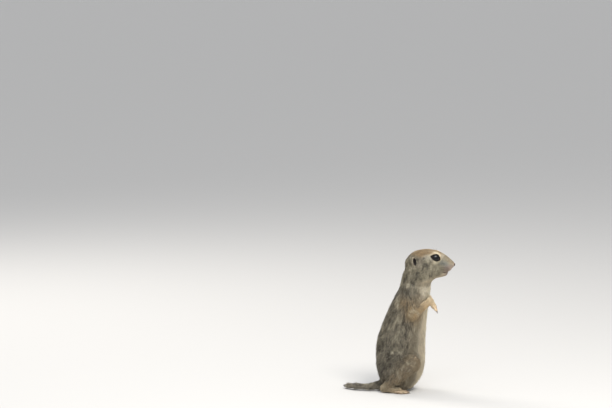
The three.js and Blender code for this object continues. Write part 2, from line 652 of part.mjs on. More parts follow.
// The mouth line, cut as a fine groove along the lips
const HEAD_REACH = 16; // further out than the head's side
const HALVINGS = 30;
function lipPoint([x, z], side) {
  let inner = 0;
  let outer = HEAD_REACH;
  for (let halving = 0; halving < HALVINGS; halving++) {
    const middle = (inner + outer) / 2;
    const [dx, dy] = [x - HEAD_PIVOT[0], middle * side - HEAD_PIVOT[1]];
    const cos = Math.cos(HEAD_TURN);
    const sin = Math.sin(HEAD_TURN);
    const bodyX = HEAD_PIVOT[0] + dx * cos - dy * sin;
    const bodyY = HEAD_PIVOT[1] + dx * sin + dy * cos;
    if (headDistance(bodyX, bodyY, z) < 0) inner = middle;
    else outer = middle;
  }
  return [x, inner * side, z];
}
for (const side of Object.values(SIDES)) {
  const lips = MOUTH_LINE.map((point) => lipPoint(point, side));
  const groove = taperedTube(lips, MOUTH_RADII, 5, 6, 1);
  head = largest(head.subtract(turnedHead(groove)));
}

// Nose pad with its nostrils
let nose;
[nose, head] = parted(head, (grow) => turnedHead(ball(NOSE_PAD.centre, NOSE_PAD.radii, grow, 10)));
for (const side of Object.values(SIDES)) {
  const nostril = turnedHead(ball(mirrored(NOSTRIL.centre, side), NOSTRIL.radii, 0, 8));
  nose = largest(nose.subtract(nostril));
}
addNode("nose", nose, "nose");
addNode("head", head, "crown");

// The origin is under the middle of the animal's box, on the floor
const box = new THREE.Box3().setFromObject(squirrel);
squirrel.position.set(-(box.min.x + box.max.x) / 2, -(box.min.y + box.max.y) / 2, -box.min.z);

export default squirrel;
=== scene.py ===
"""A young European ground squirrel that sits up on its hind feet, finished over the frame's solids.

Lengths are millimetres in the animal's own frame until a mesh is made, and +X is the way it faces.
"""

import math

import bpy
import numpy as np
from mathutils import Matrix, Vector


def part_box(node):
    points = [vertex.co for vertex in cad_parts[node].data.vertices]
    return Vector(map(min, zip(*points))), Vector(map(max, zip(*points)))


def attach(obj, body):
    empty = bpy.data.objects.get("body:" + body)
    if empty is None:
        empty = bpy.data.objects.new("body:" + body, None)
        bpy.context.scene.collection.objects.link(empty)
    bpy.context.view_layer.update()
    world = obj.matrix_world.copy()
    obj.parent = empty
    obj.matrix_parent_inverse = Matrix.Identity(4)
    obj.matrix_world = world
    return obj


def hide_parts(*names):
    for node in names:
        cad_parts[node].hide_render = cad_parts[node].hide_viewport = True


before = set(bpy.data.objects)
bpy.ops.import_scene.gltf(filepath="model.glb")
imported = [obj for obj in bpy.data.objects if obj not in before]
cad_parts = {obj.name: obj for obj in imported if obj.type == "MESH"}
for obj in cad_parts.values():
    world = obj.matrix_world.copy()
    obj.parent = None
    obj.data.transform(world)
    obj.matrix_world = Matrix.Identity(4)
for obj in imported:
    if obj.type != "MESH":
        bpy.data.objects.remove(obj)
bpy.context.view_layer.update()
MM = 0.001
BODY = "root"
rng = np.random.default_rng(41)


def unit(vectors):
    return vectors / np.maximum(np.linalg.norm(vectors, axis=-1, keepdims=True), 1e-9)


def smooth_step(value, low, high):
    """0 up to low, rising smoothly to 1 at high."""
    t = np.clip((value - low) / (high - low), 0, 1)
    return t * t * (3 - 2 * t)


def fade(value, low, high):
    """1 up to low, falling smoothly to 0 at high."""
    return 1 - smooth_step(value, low, high)


def bump_of(value, middle, width):
    """1 at the middle, falling smoothly to 0 at that width to either side."""
    return fade(np.abs(value - middle), 0, width)


def mixed(a, b, share):
    return a + (b - a) * share


def turned(u, v, angle):
    """Places in a plane, turned about its origin."""
    cos, sin = math.cos(angle), math.sin(angle)
    return u * cos - v * sin, u * sin + v * cos


# The camera stands where the photograph's did, and the animal keeps its place in the picture
PHOTO = (612, 408)
ANIMAL_PIXEL = (398.2, 390.3)  # where the origin falls in the photograph
PIXEL_MM = 0.92
CAMERA_AZIMUTH = 12
CAMERA_ELEVATION = 6
CAMERA_DISTANCE = 2600
SENSOR = 36

# The trunk from rump to nape: height, its back, its front and its half width
TRUNK = np.array([
    (0.5, -10, 6, 11),
    (5, -15.5, 12.5, 15),
    (11, -18.8, 18, 17.5),
    (19, -21.2, 21.8, 19),
    (29, -22.4, 23.4, 20),
    (40, -22.4, 23.6, 20.6),
    (50, -20.8, 23.8, 20.4),
    (60, -17.4, 24.4, 19.4),
    (70, -13.4, 25.2, 18.2),
    (80, -9.0, 26.4, 16.8),
    (88, -5.0, 27.4, 15.4),
    (96, -1.4, 28.8, 14.0),
    (104, 1.1, 29.2, 13.4),
    (114, 5.2, 27.0, 12.0),
])
TRUNK_END_ROUND = 6

# The head from nape to nose: x, its underside, its top and its half width
HEAD = np.array([
    (4.5, 103, 120.2, 9.8),
    (9, 100.8, 126.2, 12.5),
    (14, 99.8, 129.7, 14.1),
    (20, 100.2, 131.2, 14.8),
    (26, 101.6, 131.6, 14.4),
    (31, 103.4, 130.7, 13.0),
    (36, 106.0, 129.1, 10.2),
    (40, 108.6, 127.1, 7.9),
    (44, 111.4, 124.1, 5.8),
    (47, 113.8, 121.5, 4.2),
    (49.3, 115.4, 119.6, 2.9),
])
HEAD_END_ROUND = 2
CROWN_TAPER = 0.13
HEAD_TURN = math.radians(8)
HEAD_PIVOT_X = 12

# Rounded forms of the left half of the face, from cheek to nose: centre, radii, blend
FACE = (
    ((21, 8.5, 109.5), (10.5, 6.8, 8.5), 4),
    ((42.3, 3.2, 114.2), (4.6, 3.1, 3.5), 2),
    ((38.0, 0, 108.9), (5.0, 3.6, 2.7), 4),
    ((29.5, 7.2, 127.8), (6.2, 2.4, 1.7), 3),
    ((48.4, 0, 117.3), (2.0, 2.5, 2.0), 1.5),
)

# Eyes
EYE = np.array((31.8, 6.6, 123.9))
EYE_RADIUS = 4.9
EYE_OUTWARD = unit(np.array((0.28, 0.94, 0.18)))
EYE_TILT = math.radians(-17)
OPENING_HALF_LENGTH = 4.75
OPENING_HALF_HEIGHT = 3.0
LID = 0.55
EYE_CLEARANCE = 0.03  # between the ball and the skin behind it
EYE_DISH = ((0, 0.2, 5.6), (6.0, 4.6, 2.6))  # centre and radii
BROW = ((0.3, 3.7, 2.4), (4.4, 0.9, 1.6))

# Ears: the middle of one, and the centres and radii of its forms from there
EAR = np.array((13.2, 12.1, 121.2))
EAR_TILT = math.radians(-12)
PINNA = ((-0.5, 0.2, 0), (2.6, 2.3, 4.4))
EAR_CUP = ((0.75, 2.1, -0.2), (1.5, 2.5, 3.6))
EAR_FOLD = ((1.8, 0.8, 0.8), (1.0, 0.7, 0.9))

# Nose and mouth, with the depth and width of each groove
NOSE_PAD = ((49.0, 0, 117.3), (2.0, 2.3, 1.7))
NOSTRIL = ((49.6, 1.5, 117.0), (1.3, 0.55, 0.62))
PAD_GROOVE = (0.16, 0.22)
NOSE_FURROW = (0.4, 0.28)
MOUTH_GROOVE = (0.42, 0.34)
MOUTH_LINE = ((47.0, 0, 112.9), (45.0, 0, 111.6), (42.6, 0, 110.9), (40.2, 0, 110.5), (38.4, 0, 111.1))

# Legs and arms: joints of the left side, with the limb's radius there
SIDES = (("left", 1), ("right", -1))
LEG_STEP = {1: -2.5, -1: 0}  # how far each leg is put forward
HIP, HIP_RADII, HIP_R = (-3.5, 12.5, 27), (16.6, 10.5, 16.5), 9
KNEE, KNEE_R = (13.5, 17.8, 28), 8.2
SHIN, SHIN_R = (0, 16.8, 15), 6.6
HEEL, HEEL_R = (-11.5, 15.6, 4.2), 3.8
BALL, BALL_R = (1.6, 16.6, 2.6), 3.3
ARM_STEP = {1: -3.6, -1: 0.9}  # how far each forepaw is held forward
SHOULDER, SHOULDER_RADII, SHOULDER_R = (10.5, 10.7, 88), (8.5, 6.4, 11.5), 5.6
ELBOW, ELBOW_R = (14.5, 15.4, 73.5), 4.8
WRIST, WRIST_R = (28.2, 8.8, 84.8), 3.1
KNUCKLES, KNUCKLES_R = (31.8, 7.8, 79.8), 2.5

# Tail joints and radii
TAIL = (
    ((-10, 0, 11), 6.5),
    ((-18, -3.6, 5.4), 4.6),
    ((-27.5, -7.6, 3.5), 3.6),
    ((-38.5, -7.0, 3.3), 3.5),
    ((-47, -3.2, 3.0), 3.1),
    ((-51.5, 0.2, 2.4), 2.0),
)

# Toes and fingers: place across, place along, spread in degrees and length
TOES = (
    (-3.1, -2.2, -13, 5.0),
    (-1.6, 0.2, -6, 6.4),
    (0, 0.8, 0, 6.8),
    (1.6, 0.2, 6, 6.4),
    (3.1, -1.8, 13, 5.2),
)
TOE_R = 1.2
FINGERS = ((-2.1, -0.5, -12, 3.6), (-0.8, 0, -4, 4.4), (0.7, 0, 4, 4.2), (2.0, -0.4, 12, 3.4))
FINGER_R = 0.95
DIGIT_JOINTS = ((-0.2, 0), (0.35, -0.25), (0.72, 0), (1, 0.3))  # share of the length, and drop in radii
DIGIT_SWELL = (1, 0.98, 0.94, 0.8)  # of its radius there
DIGIT_COAT = 0.12  # how much thinner a digit's skin is than its coat
CLAW_LENGTH = 2.4

# How wide the fillets between the forms are
FILLET = {
    "neck": 5, "hip": 3, "thigh": 6, "knee": 3, "shank": 2, "ankle": 2, "rump": 3, "tail": 1.5,
    "shoulder": 6, "upper_arm": 4, "elbow": 2.5, "wrist": 1.5, "digit": 0.25, "toes": 0.5, "fingers": 0.4,
}


def place(point):
    """A point of the head's own frame, turned with the head."""
    x, y = turned(point[0] - HEAD_PIVOT_X, point[1], HEAD_TURN)
    return np.array((HEAD_PIVOT_X + x, y, point[2]))


def turn(direction):
    """A direction of the head's own frame, turned with the head."""
    return np.array((*turned(direction[0], direction[1], HEAD_TURN), direction[2]))


def to_head(x, y):
    """Where a point is in the head's own frame."""
    hx, hy = turned(x - HEAD_PIVOT_X, y, -HEAD_TURN)
    return HEAD_PIVOT_X + hx, hy


# The animal's frame is the row's frame moved by SHIFT, which the eyes' places tell
eye_boxes = [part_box(f"eye_{side}") for side in ("left", "right")]
eye_middle = sum((np.array(corner) for box in eye_boxes for corner in box), np.zeros(3)) / 4 / MM
SHIFT = eye_middle - place((EYE[0], 0, EYE[2]))


def smooth_table(rows, steps=16):
    """A smooth curve through the rows of a table, with that many steps between rows."""
    ends = np.vstack((rows[0], rows, rows[-1]))
    t = np.linspace(0, 1, steps, endpoint=False)[:, None]
    found = []
    for a, b, c, d in zip(ends, ends[1:], ends[2:], ends[3:]):
        v0, v1 = (c - a) / 2, (d - b) / 2
        found.append((2 * b - 2 * c + v0 + v1) * t**3 + (-3 * b + 3 * c - 2 * v0 - v1) * t**2 + v0 * t + b)
    return np.vstack(found + [rows[-1:]])


def read(curve, at):
    """The three other columns of a curve where its first one is that."""
    return (np.interp(at, curve[:, 0], curve[:, n]) for n in (1, 2, 3))


TRUNK_CURVE = smooth_table(TRUNK)
HEAD_CURVE = smooth_table(HEAD)


# Distances to simple forms, below zero inside them
def blend(a, b, width):
    near = np.maximum(width - np.abs(a - b), 0) / width
    return np.minimum(a, b) - near * near * (width / 4)


def blended(forms, width):
    whole = forms[0]
    for form in forms[1:]:
        whole = blend(whole, form, width)
    return whole


def carve(a, b, width):
    """What is in a and not in b, with a rounded edge."""
    return -blend(-a, b, width)


def ellipsoid(x, y, z, centre, radii):
    dx, dy, dz = x - centre[0], y - centre[1], z - centre[2]
    reach = np.sqrt((dx / radii[0]) ** 2 + (dy / radii[1]) ** 2 + (dz / radii[2]) ** 2)
    slope = np.sqrt((dx / radii[0] ** 2) ** 2 + (dy / radii[1] ** 2) ** 2 + (dz / radii[2] ** 2) ** 2)
    return reach * (reach - 1) / np.maximum(slope, 1e-6)


def limb(x, y, z, start, start_r, end, end_r):
    """A tapered rod with round ends."""
    bx, by, bz = (end[i] - start[i] for i in range(3))
    dx, dy, dz = x - start[0], y - start[1], z - start[2]
    share = np.clip((dx * bx + dy * by + dz * bz) / (bx * bx + by * by + bz * bz), 0, 1)
    gap = np.sqrt((dx - bx * share) ** 2 + (dy - by * share) ** 2 + (dz - bz * share) ** 2)
    return gap - (start_r + (end_r - start_r) * share)


def section(u, v, beyond, half_u, half_v, rounding):
    """An oval section, closed by a flat end with a rounded edge."""
    a, b = half_u - rounding, half_v - rounding
    reach = np.sqrt((u / a) ** 2 + (v / b) ** 2)
    slope = np.sqrt((u / (a * a)) ** 2 + (v / (b * b)) ** 2)
    flat = reach * (reach - 1) / np.maximum(slope, 1e-6)
    outside = np.sqrt(np.maximum(flat, 0) ** 2 + np.maximum(beyond, 0) ** 2)
    return outside + np.minimum(np.maximum(flat, beyond), 0) - rounding


def trunk_form(x, y, z):
    back, front, side = read(TRUNK_CURVE, z)
    beyond = np.maximum(TRUNK[0, 0] + TRUNK_END_ROUND - z, z - TRUNK[-1, 0] + TRUNK_END_ROUND)
    return section(x - (front + back) / 2, y, beyond, (front - back) / 2, side, TRUNK_END_ROUND)


def skull_form(x, y, z):
    under, top, side = read(HEAD_CURVE, x)
    half = (top - under) / 2
    height = z - (top + under) / 2
    side = side * (1 - CROWN_TAPER * np.clip(height / half, -1, 1))
    beyond = np.maximum(HEAD[0, 0] + HEAD_END_ROUND - x, x - HEAD[-1, 0] + HEAD_END_ROUND)
    return section(height, y, beyond, half, side, HEAD_END_ROUND)


def stepped(y, step):
    """How far forward a limb is put on the side that each point is on."""
    return np.where(y >= 0, step[1], step[-1])


def leg_forms(x, y, z):
    """Thigh, shank and foot of the side that each point is on. All but the hip move with the foot."""
    forward = stepped(y, LEG_STEP)
    x, y = x - forward, np.abs(y)
    hip = (HIP[0] - forward, HIP[1], HIP[2])
    bone = limb(x, y, z, hip, HIP_R, KNEE, KNEE_R)
    thigh = blend(ellipsoid(x, y, z, hip, HIP_RADII), bone, FILLET["thigh"])
    calf = limb(x, y, z, KNEE, KNEE_R, SHIN, SHIN_R)
    shank = blend(calf, limb(x, y, z, SHIN, SHIN_R, HEEL, HEEL_R), FILLET["shank"])
    return thigh, shank, limb(x, y, z, HEEL, HEEL_R, BALL, BALL_R)


def arm_forms(x, y, z):
    """Upper arm, forearm and hand of the side that each point is on."""
    forward = stepped(y, ARM_STEP)
    y = np.abs(y)
    wrist = (WRIST[0] + forward, WRIST[1], WRIST[2])
    knuckles = (KNUCKLES[0] + forward, KNUCKLES[1], KNUCKLES[2])
    bone = limb(x, y, z, SHOULDER, SHOULDER_R, ELBOW, ELBOW_R)
    upper = blend(ellipsoid(x, y, z, SHOULDER, SHOULDER_RADII), bone, FILLET["upper_arm"])
    forearm = limb(x, y, z, ELBOW, ELBOW_R, wrist, WRIST_R)
    return upper, forearm, limb(x, y, z, wrist, WRIST_R, knuckles, KNUCKLES_R)


def tail_form(x, y, z):
    return blended([limb(x, y, z, *start, *end) for start, end in zip(TAIL, TAIL[1:])], FILLET["tail"])


def digit_lines(rows, radius, ball, forward, down):
    """The joints of each digit of a left paw, and the line of its claw."""
    across = np.cross(down, forward)
    lines = []
    for side_place, along, spread, length in rows:
        sideways, ahead = turned(0, 1, -math.radians(spread))
        way = forward * ahead + across * sideways
        root = ball + across * side_place + forward * along
        joints = [root + way * (length * share) + down * (radius * drop) for share, drop in DIGIT_JOINTS]
        bend = joints[-1] + way * (CLAW_LENGTH * 0.6) + down * (CLAW_LENGTH * 0.08)
        point = joints[-1] + way * (CLAW_LENGTH + 0.3) + down * (CLAW_LENGTH * 0.35)
        lines.append((joints, [joints[-1], bend, point]))
    return lines


HAND_WAY = unit(np.subtract(KNUCKLES, WRIST))
PALM_WAY = unit(np.array((HAND_WAY[2], 0, -HAND_WAY[0])))
TOE_ROOT = np.array((BALL[0] + 1, BALL[1], TOE_R + 0.35))
TOE_LINES = digit_lines(TOES, TOE_R, TOE_ROOT, np.array((1.0, 0, 0)), np.array((0, 0, -1.0)))
FINGER_LINES = digit_lines(FINGERS, FINGER_R, np.array(KNUCKLES), HAND_WAY, PALM_WAY)


def digits_form(x, y, z, lines, radius, step):
    """Each toe or finger: swollen at its pads, with a fold where it leaves the next one."""
    x, y = x - stepped(y, step), np.abs(y)
    sizes = np.array(DIGIT_SWELL) * (radius - DIGIT_COAT)
    rods = [rod for joints, _ in lines for rod in zip(joints, sizes, joints[1:], sizes[1:])]
    return blended([limb(x, y, z, *rod) for rod in rods], FILLET["digit"])


def toes_and_fingers(x, y, z):
    toes = digits_form(x, y, z, TOE_LINES, TOE_R, LEG_STEP)
    return toes, digits_form(x, y, z, FINGER_LINES, FINGER_R, ARM_STEP)


# How deep the coat is over the skin on each part, and its tufts' length, width and number on a square mm
PARTS = ("trunk", "head", "thigh", "shank", "foot", "upper_arm", "forearm", "hand", "tail")
COAT = {
    "trunk": (2.2, 5.0, 0.30, 4.6),
    "head": (0.9, 2.3, 0.18, 9.0),
    "thigh": (2.0, 4.6, 0.28, 5.0),
    "shank": (1.2, 3.0, 0.24, 6.0),
    "foot": (0.35, 1.1, 0.14, 9.0),
    "upper_arm": (1.6, 3.8, 0.26, 5.5),
    "forearm": (0.9, 2.4, 0.20, 8.0),
    "hand": (0.35, 1.0, 0.13, 10.0),
    "tail": (1.5, 4.4, 0.26, 7.0),
}
FACE_DEPTH_LESS = 0.68  # how much less deep the coat is on the face
GUARD_SHARE = 0.07  # of the tufts, which stand out as longer guard hairs
FACE_ABOVE = 98  # the height that the eyes, ears and lips are above
SOLE = 0.05  # the lowest that the skin reaches
NECK = (93, 109)  # the heights between which the trunk's coat becomes the head's


def part_forms(x, y, z):
    """The distance to each of PARTS."""
    hx, hy = to_head(x, y)
    head = skull_form(hx, hy, z)
    for centre, radii, width in FACE:
        head = blend(head, ellipsoid(hx, np.abs(hy), z, centre, radii), width)
    return [trunk_form(x, y, z), head, *leg_forms(x, y, z), *arm_forms(x, y, z), tail_form(x, y, z)]


def part_weights(forms, z, softness=1.8):
    """How much each part counts at each point, most where its surface is nearest."""
    nearest = np.minimum.reduce(forms)
    weights = [np.exp((nearest - form) / softness) for form in forms]
    neck = weights[0] + weights[1]
    head_share = smooth_step(z, *NECK)
    weights[:2] = [neck * (1 - head_share), neck * head_share]
    total = sum(weights)
    return [weight / total for weight in weights]


def ear_axes(hx, hy, z):
    """Places in the ear: forward, outward and up, with the ear's tilt taken off."""
    forward, up = turned(hx - EAR[0], z - EAR[2], EAR_TILT)
    return forward, np.abs(hy) - EAR[1], up


def shortness(x, y, z, weights):
    """How short the coat is: 1 on the muzzle, round the eyes and on the ears, 0 from the cheeks back."""
    hx, hy = to_head(x, y)
    muzzle = smooth_step(hx, 28, 44)
    eye_gap = np.sqrt((hx - EYE[0]) ** 2 + (np.abs(hy) - EYE[1]) ** 2 + (z - EYE[2]) ** 2) - EYE_RADIUS
    ear_gap = ellipsoid(*ear_axes(hx, hy, z), *PINNA)
    return weights[1] * np.maximum.reduce((muzzle, fade(eye_gap, 0.8, 4.5), fade(ear_gap, 0.2, 1.6)))


def coat_here(weights, column):
    """A column of COAT where the parts count that much."""
    return sum(weight * COAT[part][column] for weight, part in zip(weights, PARTS))


def coat_depth(weights, short):
    return coat_here(weights, 0) - short * FACE_DEPTH_LESS


# Eyes, seen along their own axes: forward and tilted, up, and outward
EYE_FORWARD = unit(np.array((1.0, 0, 0)) - EYE_OUTWARD * EYE_OUTWARD[0])
EYE_UP = np.cross(EYE_FORWARD, EYE_OUTWARD)
EYE_ACROSS, EYE_LENGTHWISE = turned(EYE_UP, EYE_FORWARD, EYE_TILT)


def eye_axes(hx, hy, z):
    """Places from the middle of the eye: along its opening, across it, and outward."""
    x, y, z = hx - EYE[0], np.abs(hy) - EYE[1], z - EYE[2]
    return [x * axis[0] + y * axis[1] + z * axis[2] for axis in (EYE_LENGTHWISE, EYE_ACROSS, EYE_OUTWARD)]


def lid_gap(along, across):
    """Below zero between the lids: an almond, pointed at both corners and fuller above."""
    reach = np.abs(along) / OPENING_HALF_LENGTH
    middle = 0.15 - 0.25 * reach
    return np.abs(across - middle) - OPENING_HALF_HEIGHT * (1 - reach**2.3)


def mouth_gap(hx, z):
    """How far each point is from the line of the mouth, seen from the side."""
    stretches = zip(MOUTH_LINE, MOUTH_LINE[1:])
    return np.minimum.reduce([limb(hx, 0, z, start, 0, end, 0) for start, end in stretches])


def groove(gap, depth, width):
    """How deep a groove is at each distance from its line."""
    return depth * np.exp(-((gap / width) ** 2))


def add_face(skin, hx, hy, z):
    """Lids, ears, lips and nostrils, worked into the skin of the head."""
    # Eye: a dish for the ball, the lids over it with a brow above, and the opening between them
    along, across, out = eye_axes(hx, hy, z)
    ball = np.sqrt(along**2 + across**2 + out**2) - EYE_RADIUS
    skin = carve(skin, ellipsoid(along, across, out, *EYE_DISH), 2.0)
    skin = blend(skin, blend(ball - LID, ellipsoid(along, across, out, *BROW), 1.0), 1.0)
    skin = np.maximum(skin, EYE_CLEARANCE - ball)
    skin = carve(skin, np.maximum(lid_gap(along, across), -out), 0.3)

    # Ear: a low cup whose thick rim is open forward, with a fold across the middle of the opening
    ear = ear_axes(hx, hy, z)
    skin = blend(skin, ellipsoid(*ear, *PINNA), 0.8)
    cup = carve(ellipsoid(*ear, *EAR_CUP), ellipsoid(*ear, *EAR_FOLD), 0.5)
    skin = carve(skin, cup, 0.5)

    # Lips, the furrow under the nose, the pad's edge and the nostrils
    side = np.abs(hy)
    skin = skin + groove(mouth_gap(hx, z), *MOUTH_GROOVE) * smooth_step(hx, 37.8, 39.2)
    furrow = groove(side, *NOSE_FURROW) * smooth_step(z, 112.6, 113.6) * fade(z, 116.4, 117.4)
    skin = skin + furrow * smooth_step(hx, 44, 46)
    skin = skin + groove(ellipsoid(hx, side, z, *NOSE_PAD), *PAD_GROOVE)
    return carve(skin, ellipsoid(hx, side, z, *NOSTRIL), 0.3)


def skin_form(x, y, z):
    """The skin: the coat's outer surface, less the coat's depth, with the face and the digits."""
    forms = part_forms(x, y, z)
    trunk, head, thigh, shank, foot, upper, fore, hand, tail = forms
    leg = blend(blend(thigh, shank, FILLET["knee"]), foot, FILLET["ankle"])
    coat = blend(blend(trunk, head, FILLET["neck"]), leg, FILLET["hip"])
    coat = blend(coat, upper, FILLET["shoulder"])
    coat = blend(coat, blend(fore, hand, FILLET["wrist"]), FILLET["elbow"])
    coat = blend(coat, tail, FILLET["rump"])
    weights = part_weights(forms, z)
    toes, fingers = toes_and_fingers(x, y, z)
    skin = blend(coat + coat_depth(weights, shortness(x, y, z, weights)), toes, FILLET["toes"])
    skin = blend(skin, fingers, FILLET["fingers"])
    skin = np.where(z > FACE_ABOVE, add_face(skin, *to_head(x, y), z), skin)
    return np.maximum(skin, SOLE - z)


# The skin's mesh: one vertex in each cell of an uneven grid that the surface crosses
def uneven(*stretches):
    """Grid lines through (start, end, step) stretches that follow one another."""
    lines = [np.arange(start, end - step / 2, step) for start, end, step in stretches]
    return np.append(np.concatenate(lines), stretches[-1][1]).astype(np.float32)


def grid_values(form, xs, ys, zs, slab=24):
    values = np.empty((len(xs), len(ys), len(zs)), np.float32)
    for start in range(0, len(xs), slab):
        x, y, z = np.meshgrid(xs[start : start + slab], ys, zs, indexing="ij")
        values[start : start + slab] = form(x, y, z)
    return values


def surface_net(values, grid):
    """The points and quads where the values pass zero, on a grid with those three lists of lines."""
    inside = values < 0
    n = [size - 1 for size in values.shape]
    corners = list(np.ndindex(2, 2, 2))
    count = sum(inside[i : i + n[0], j : j + n[1], k : k + n[2]].astype(np.int8) for i, j, k in corners)
    cells = np.argwhere((count > 0) & (count < 8))
    number = np.full(n, -1, np.int64)
    number[tuple(cells.T)] = np.arange(len(cells))
    total, hits = np.zeros((len(cells), 3)), np.zeros(len(cells))
    for corner, axis in [(corner, axis) for corner in corners for axis in range(3) if not corner[axis]]:
        far = [c + (axis == m) for m, c in enumerate(corner)]
        a, b = (values[tuple((cells + end).T)] for end in (corner, far))
        crossed = (a < 0) != (b < 0)
        spot = np.tile(np.array(corner, float), (len(cells), 1))
        spot[:, axis] = np.where(crossed, a / np.where(crossed, a - b, 1), 0)
        total += spot * crossed[:, None]
        hits += crossed
    spots = (total / hits[:, None]).T
    points = [lines[c] + spot * (lines[c + 1] - lines[c]) for lines, c, spot in zip(grid, cells.T, spots)]
    quads = []
    for axis in range(3):
        u, v = (axis + 1) % 3, (axis + 2) % 3
        near = inside.take(range(n[axis]), axis)
        edges = np.argwhere(near != inside.take(range(1, n[axis] + 1), axis))
        edges = edges[(edges[:, u] > 0) & (edges[:, v] > 0) & (edges[:, u] < n[u]) & (edges[:, v] < n[v])]
        ring = []
        for du, dv in ((1, 1), (0, 1), (0, 0), (1, 0)):
            cell = edges.copy()
            cell[:, u] -= du
            cell[:, v] -= dv
            ring.append(number[tuple(cell.T)])
        ring = np.stack(ring, axis=1)
        quads.append(np.where(near[tuple(edges.T)][:, None], ring, ring[:, ::-1]))
    return np.stack(points, axis=1), np.concatenate(quads)


LONGEST_MOVE = 0.4


def settle(form, points, reach=0.06):
    """Moves points straight to the surface, or as far towards it as LONGEST_MOVE."""
    slope = np.empty_like(points)
    for axis, step in enumerate(np.eye(3) * reach):
        slope[:, axis] = form(*(points + step).T) - form(*(points - step).T)
    slope /= 2 * reach
    size = np.maximum((slope**2).sum(1), 0.05)
    return points - slope * np.clip(form(*points.T) / size, -LONGEST_MOVE, LONGEST_MOVE)[:, None]


def summed(index, vectors, count):
    """The sum of the vectors at each index."""
    return np.stack([np.bincount(index, vectors[:, axis], count) for axis in range(3)], axis=1)


def relaxed(points, quads, share):
    """Moves each point towards the middle of its neighbours."""
    edges = np.concatenate([quads[:, (n, (n + 1) % 4)] for n in range(4)])
    edges = np.concatenate((edges, edges[:, ::-1]))
    count = np.bincount(edges[:, 0], minlength=len(points))
    middle = summed(edges[:, 0], points[edges[:, 1]], len(points)) / count[:, None]
    return points + (middle - points) * share


def largest_piece(points, quads):
    """The faces joined to the most others, and their points."""
    label = np.arange(len(points))
    while True:
        low = label[quads].min(1)
        new = label.copy()
        np.minimum.at(new, quads.ravel(), np.repeat(low, 4))
        new = new[new]
        if (new == label).all():
            break
        label = new
    main = np.bincount(label[quads[:, 0]]).argmax()
    kept = quads[label[quads[:, 0]] == main]
    used, kept = np.unique(kept, return_inverse=True)
    return points[used], kept.reshape(-1, 4)


def point_normals(points, quads):
    a, b, c, d = (points[quads[:, n]] for n in range(4))
    return unit(summed(quads.ravel(), np.cross(c - a, d - b).repeat(4, axis=0), len(points)))


# Soft noise from a hashed lattice
def lattice(cell, seed):
    n = cell[..., 0] * 73856093 ^ cell[..., 1] * 19349663 ^ cell[..., 2] * 83492791 ^ seed * 2654435761
    n = (n ^ (n >> 13)) * 1274126177 & 0xFFFFFFFF
    return ((n ^ (n >> 16)) & 0xFFFFFF) / float(0xFFFFFF)


def noise(points, size, seed):
    """Smooth random values from 0 to 1, with lumps about size mm across."""
    at = np.asarray(points) / size
    cell = np.floor(at).astype(np.int64)
    t = at - cell
    t = t * t * (3 - 2 * t)
    total = 0
    for corner in np.ndindex(2, 2, 2):
        total = total + lattice(cell + corner, seed) * np.prod(np.where(corner, t, 1 - t), axis=-1)
    return total


# Colours, from the screen values that the photograph's soft daylight gives
def shade(red, green, blue):
    value = np.array((red, green, blue)) / 255
    return np.where(value <= 0.04045, value / 12.92, ((value + 0.055) / 1.055) ** 2.4)


GRIZZLE = shade(141, 133, 115)
# The back's own colour, also laid over the low rump as painted shade
BACK_AND_RUMP_SHADE = shade(104, 98, 84)
FLANK = shade(160, 148, 125)
CREAM = shade(226, 213, 187)
THROAT = shade(238, 228, 205)
BUFF = shade(190, 157, 108)
PAW_BUFF = shade(224, 200, 158)
FOOT_BUFF = shade(186, 166, 134)
BARE_TOE = shade(176, 148, 126)
THIGH = shade(108, 101, 87)
SHANK = shade(172, 149, 115)
TAIL_TOP = shade(132, 123, 107)
# The tail's dark tip colour, also used as painted shade under the tail
TAIL_TIP_AND_SHADE = shade(56, 49, 42)
CROWN = shade(173, 148, 114)
BRIDGE = shade(161, 147, 123)
JAW = mixed(THROAT, BUFF, 0.35)
EYE_RING = shade(230, 215, 184)
STREAK = shade(128, 133, 129)
MUZZLE = shade(158, 139, 127)
CHEEK = shade(147, 138, 115)
EAR_FRONT = shade(124, 110, 105)
# Near black, painted into the ear's cup and fold as shade
EAR_CUP_SHADE = shade(26, 19, 17)
EAR_RIM = shade(148, 136, 115)
NOSE = shade(104, 78, 66)
LIP = shade(70, 50, 42)
# The dark rim of the lids, also painted into the nostrils as shade
LID_RIM_AND_NOSTRIL_SHADE = shade(20, 15, 13)
# Dark flecks of the ticked coat, also used as painted shade in the thigh's crease
DARK_FLECK_AND_SHADE = shade(50, 43, 35)
FLECK_PALE = shade(216, 205, 178)
CLAW_ROOT = shade(52, 42, 35)
CLAW_TIP = shade(118, 102, 86)
WHISKER = shade(40, 33, 29)


def painted(colours, *layers):
    """The colours with layers of a colour and its amount laid over them."""
    for colour, amount in layers:
        colours = colours + (colour - colours) * np.clip(amount, 0, 1)[:, None]
    return colours


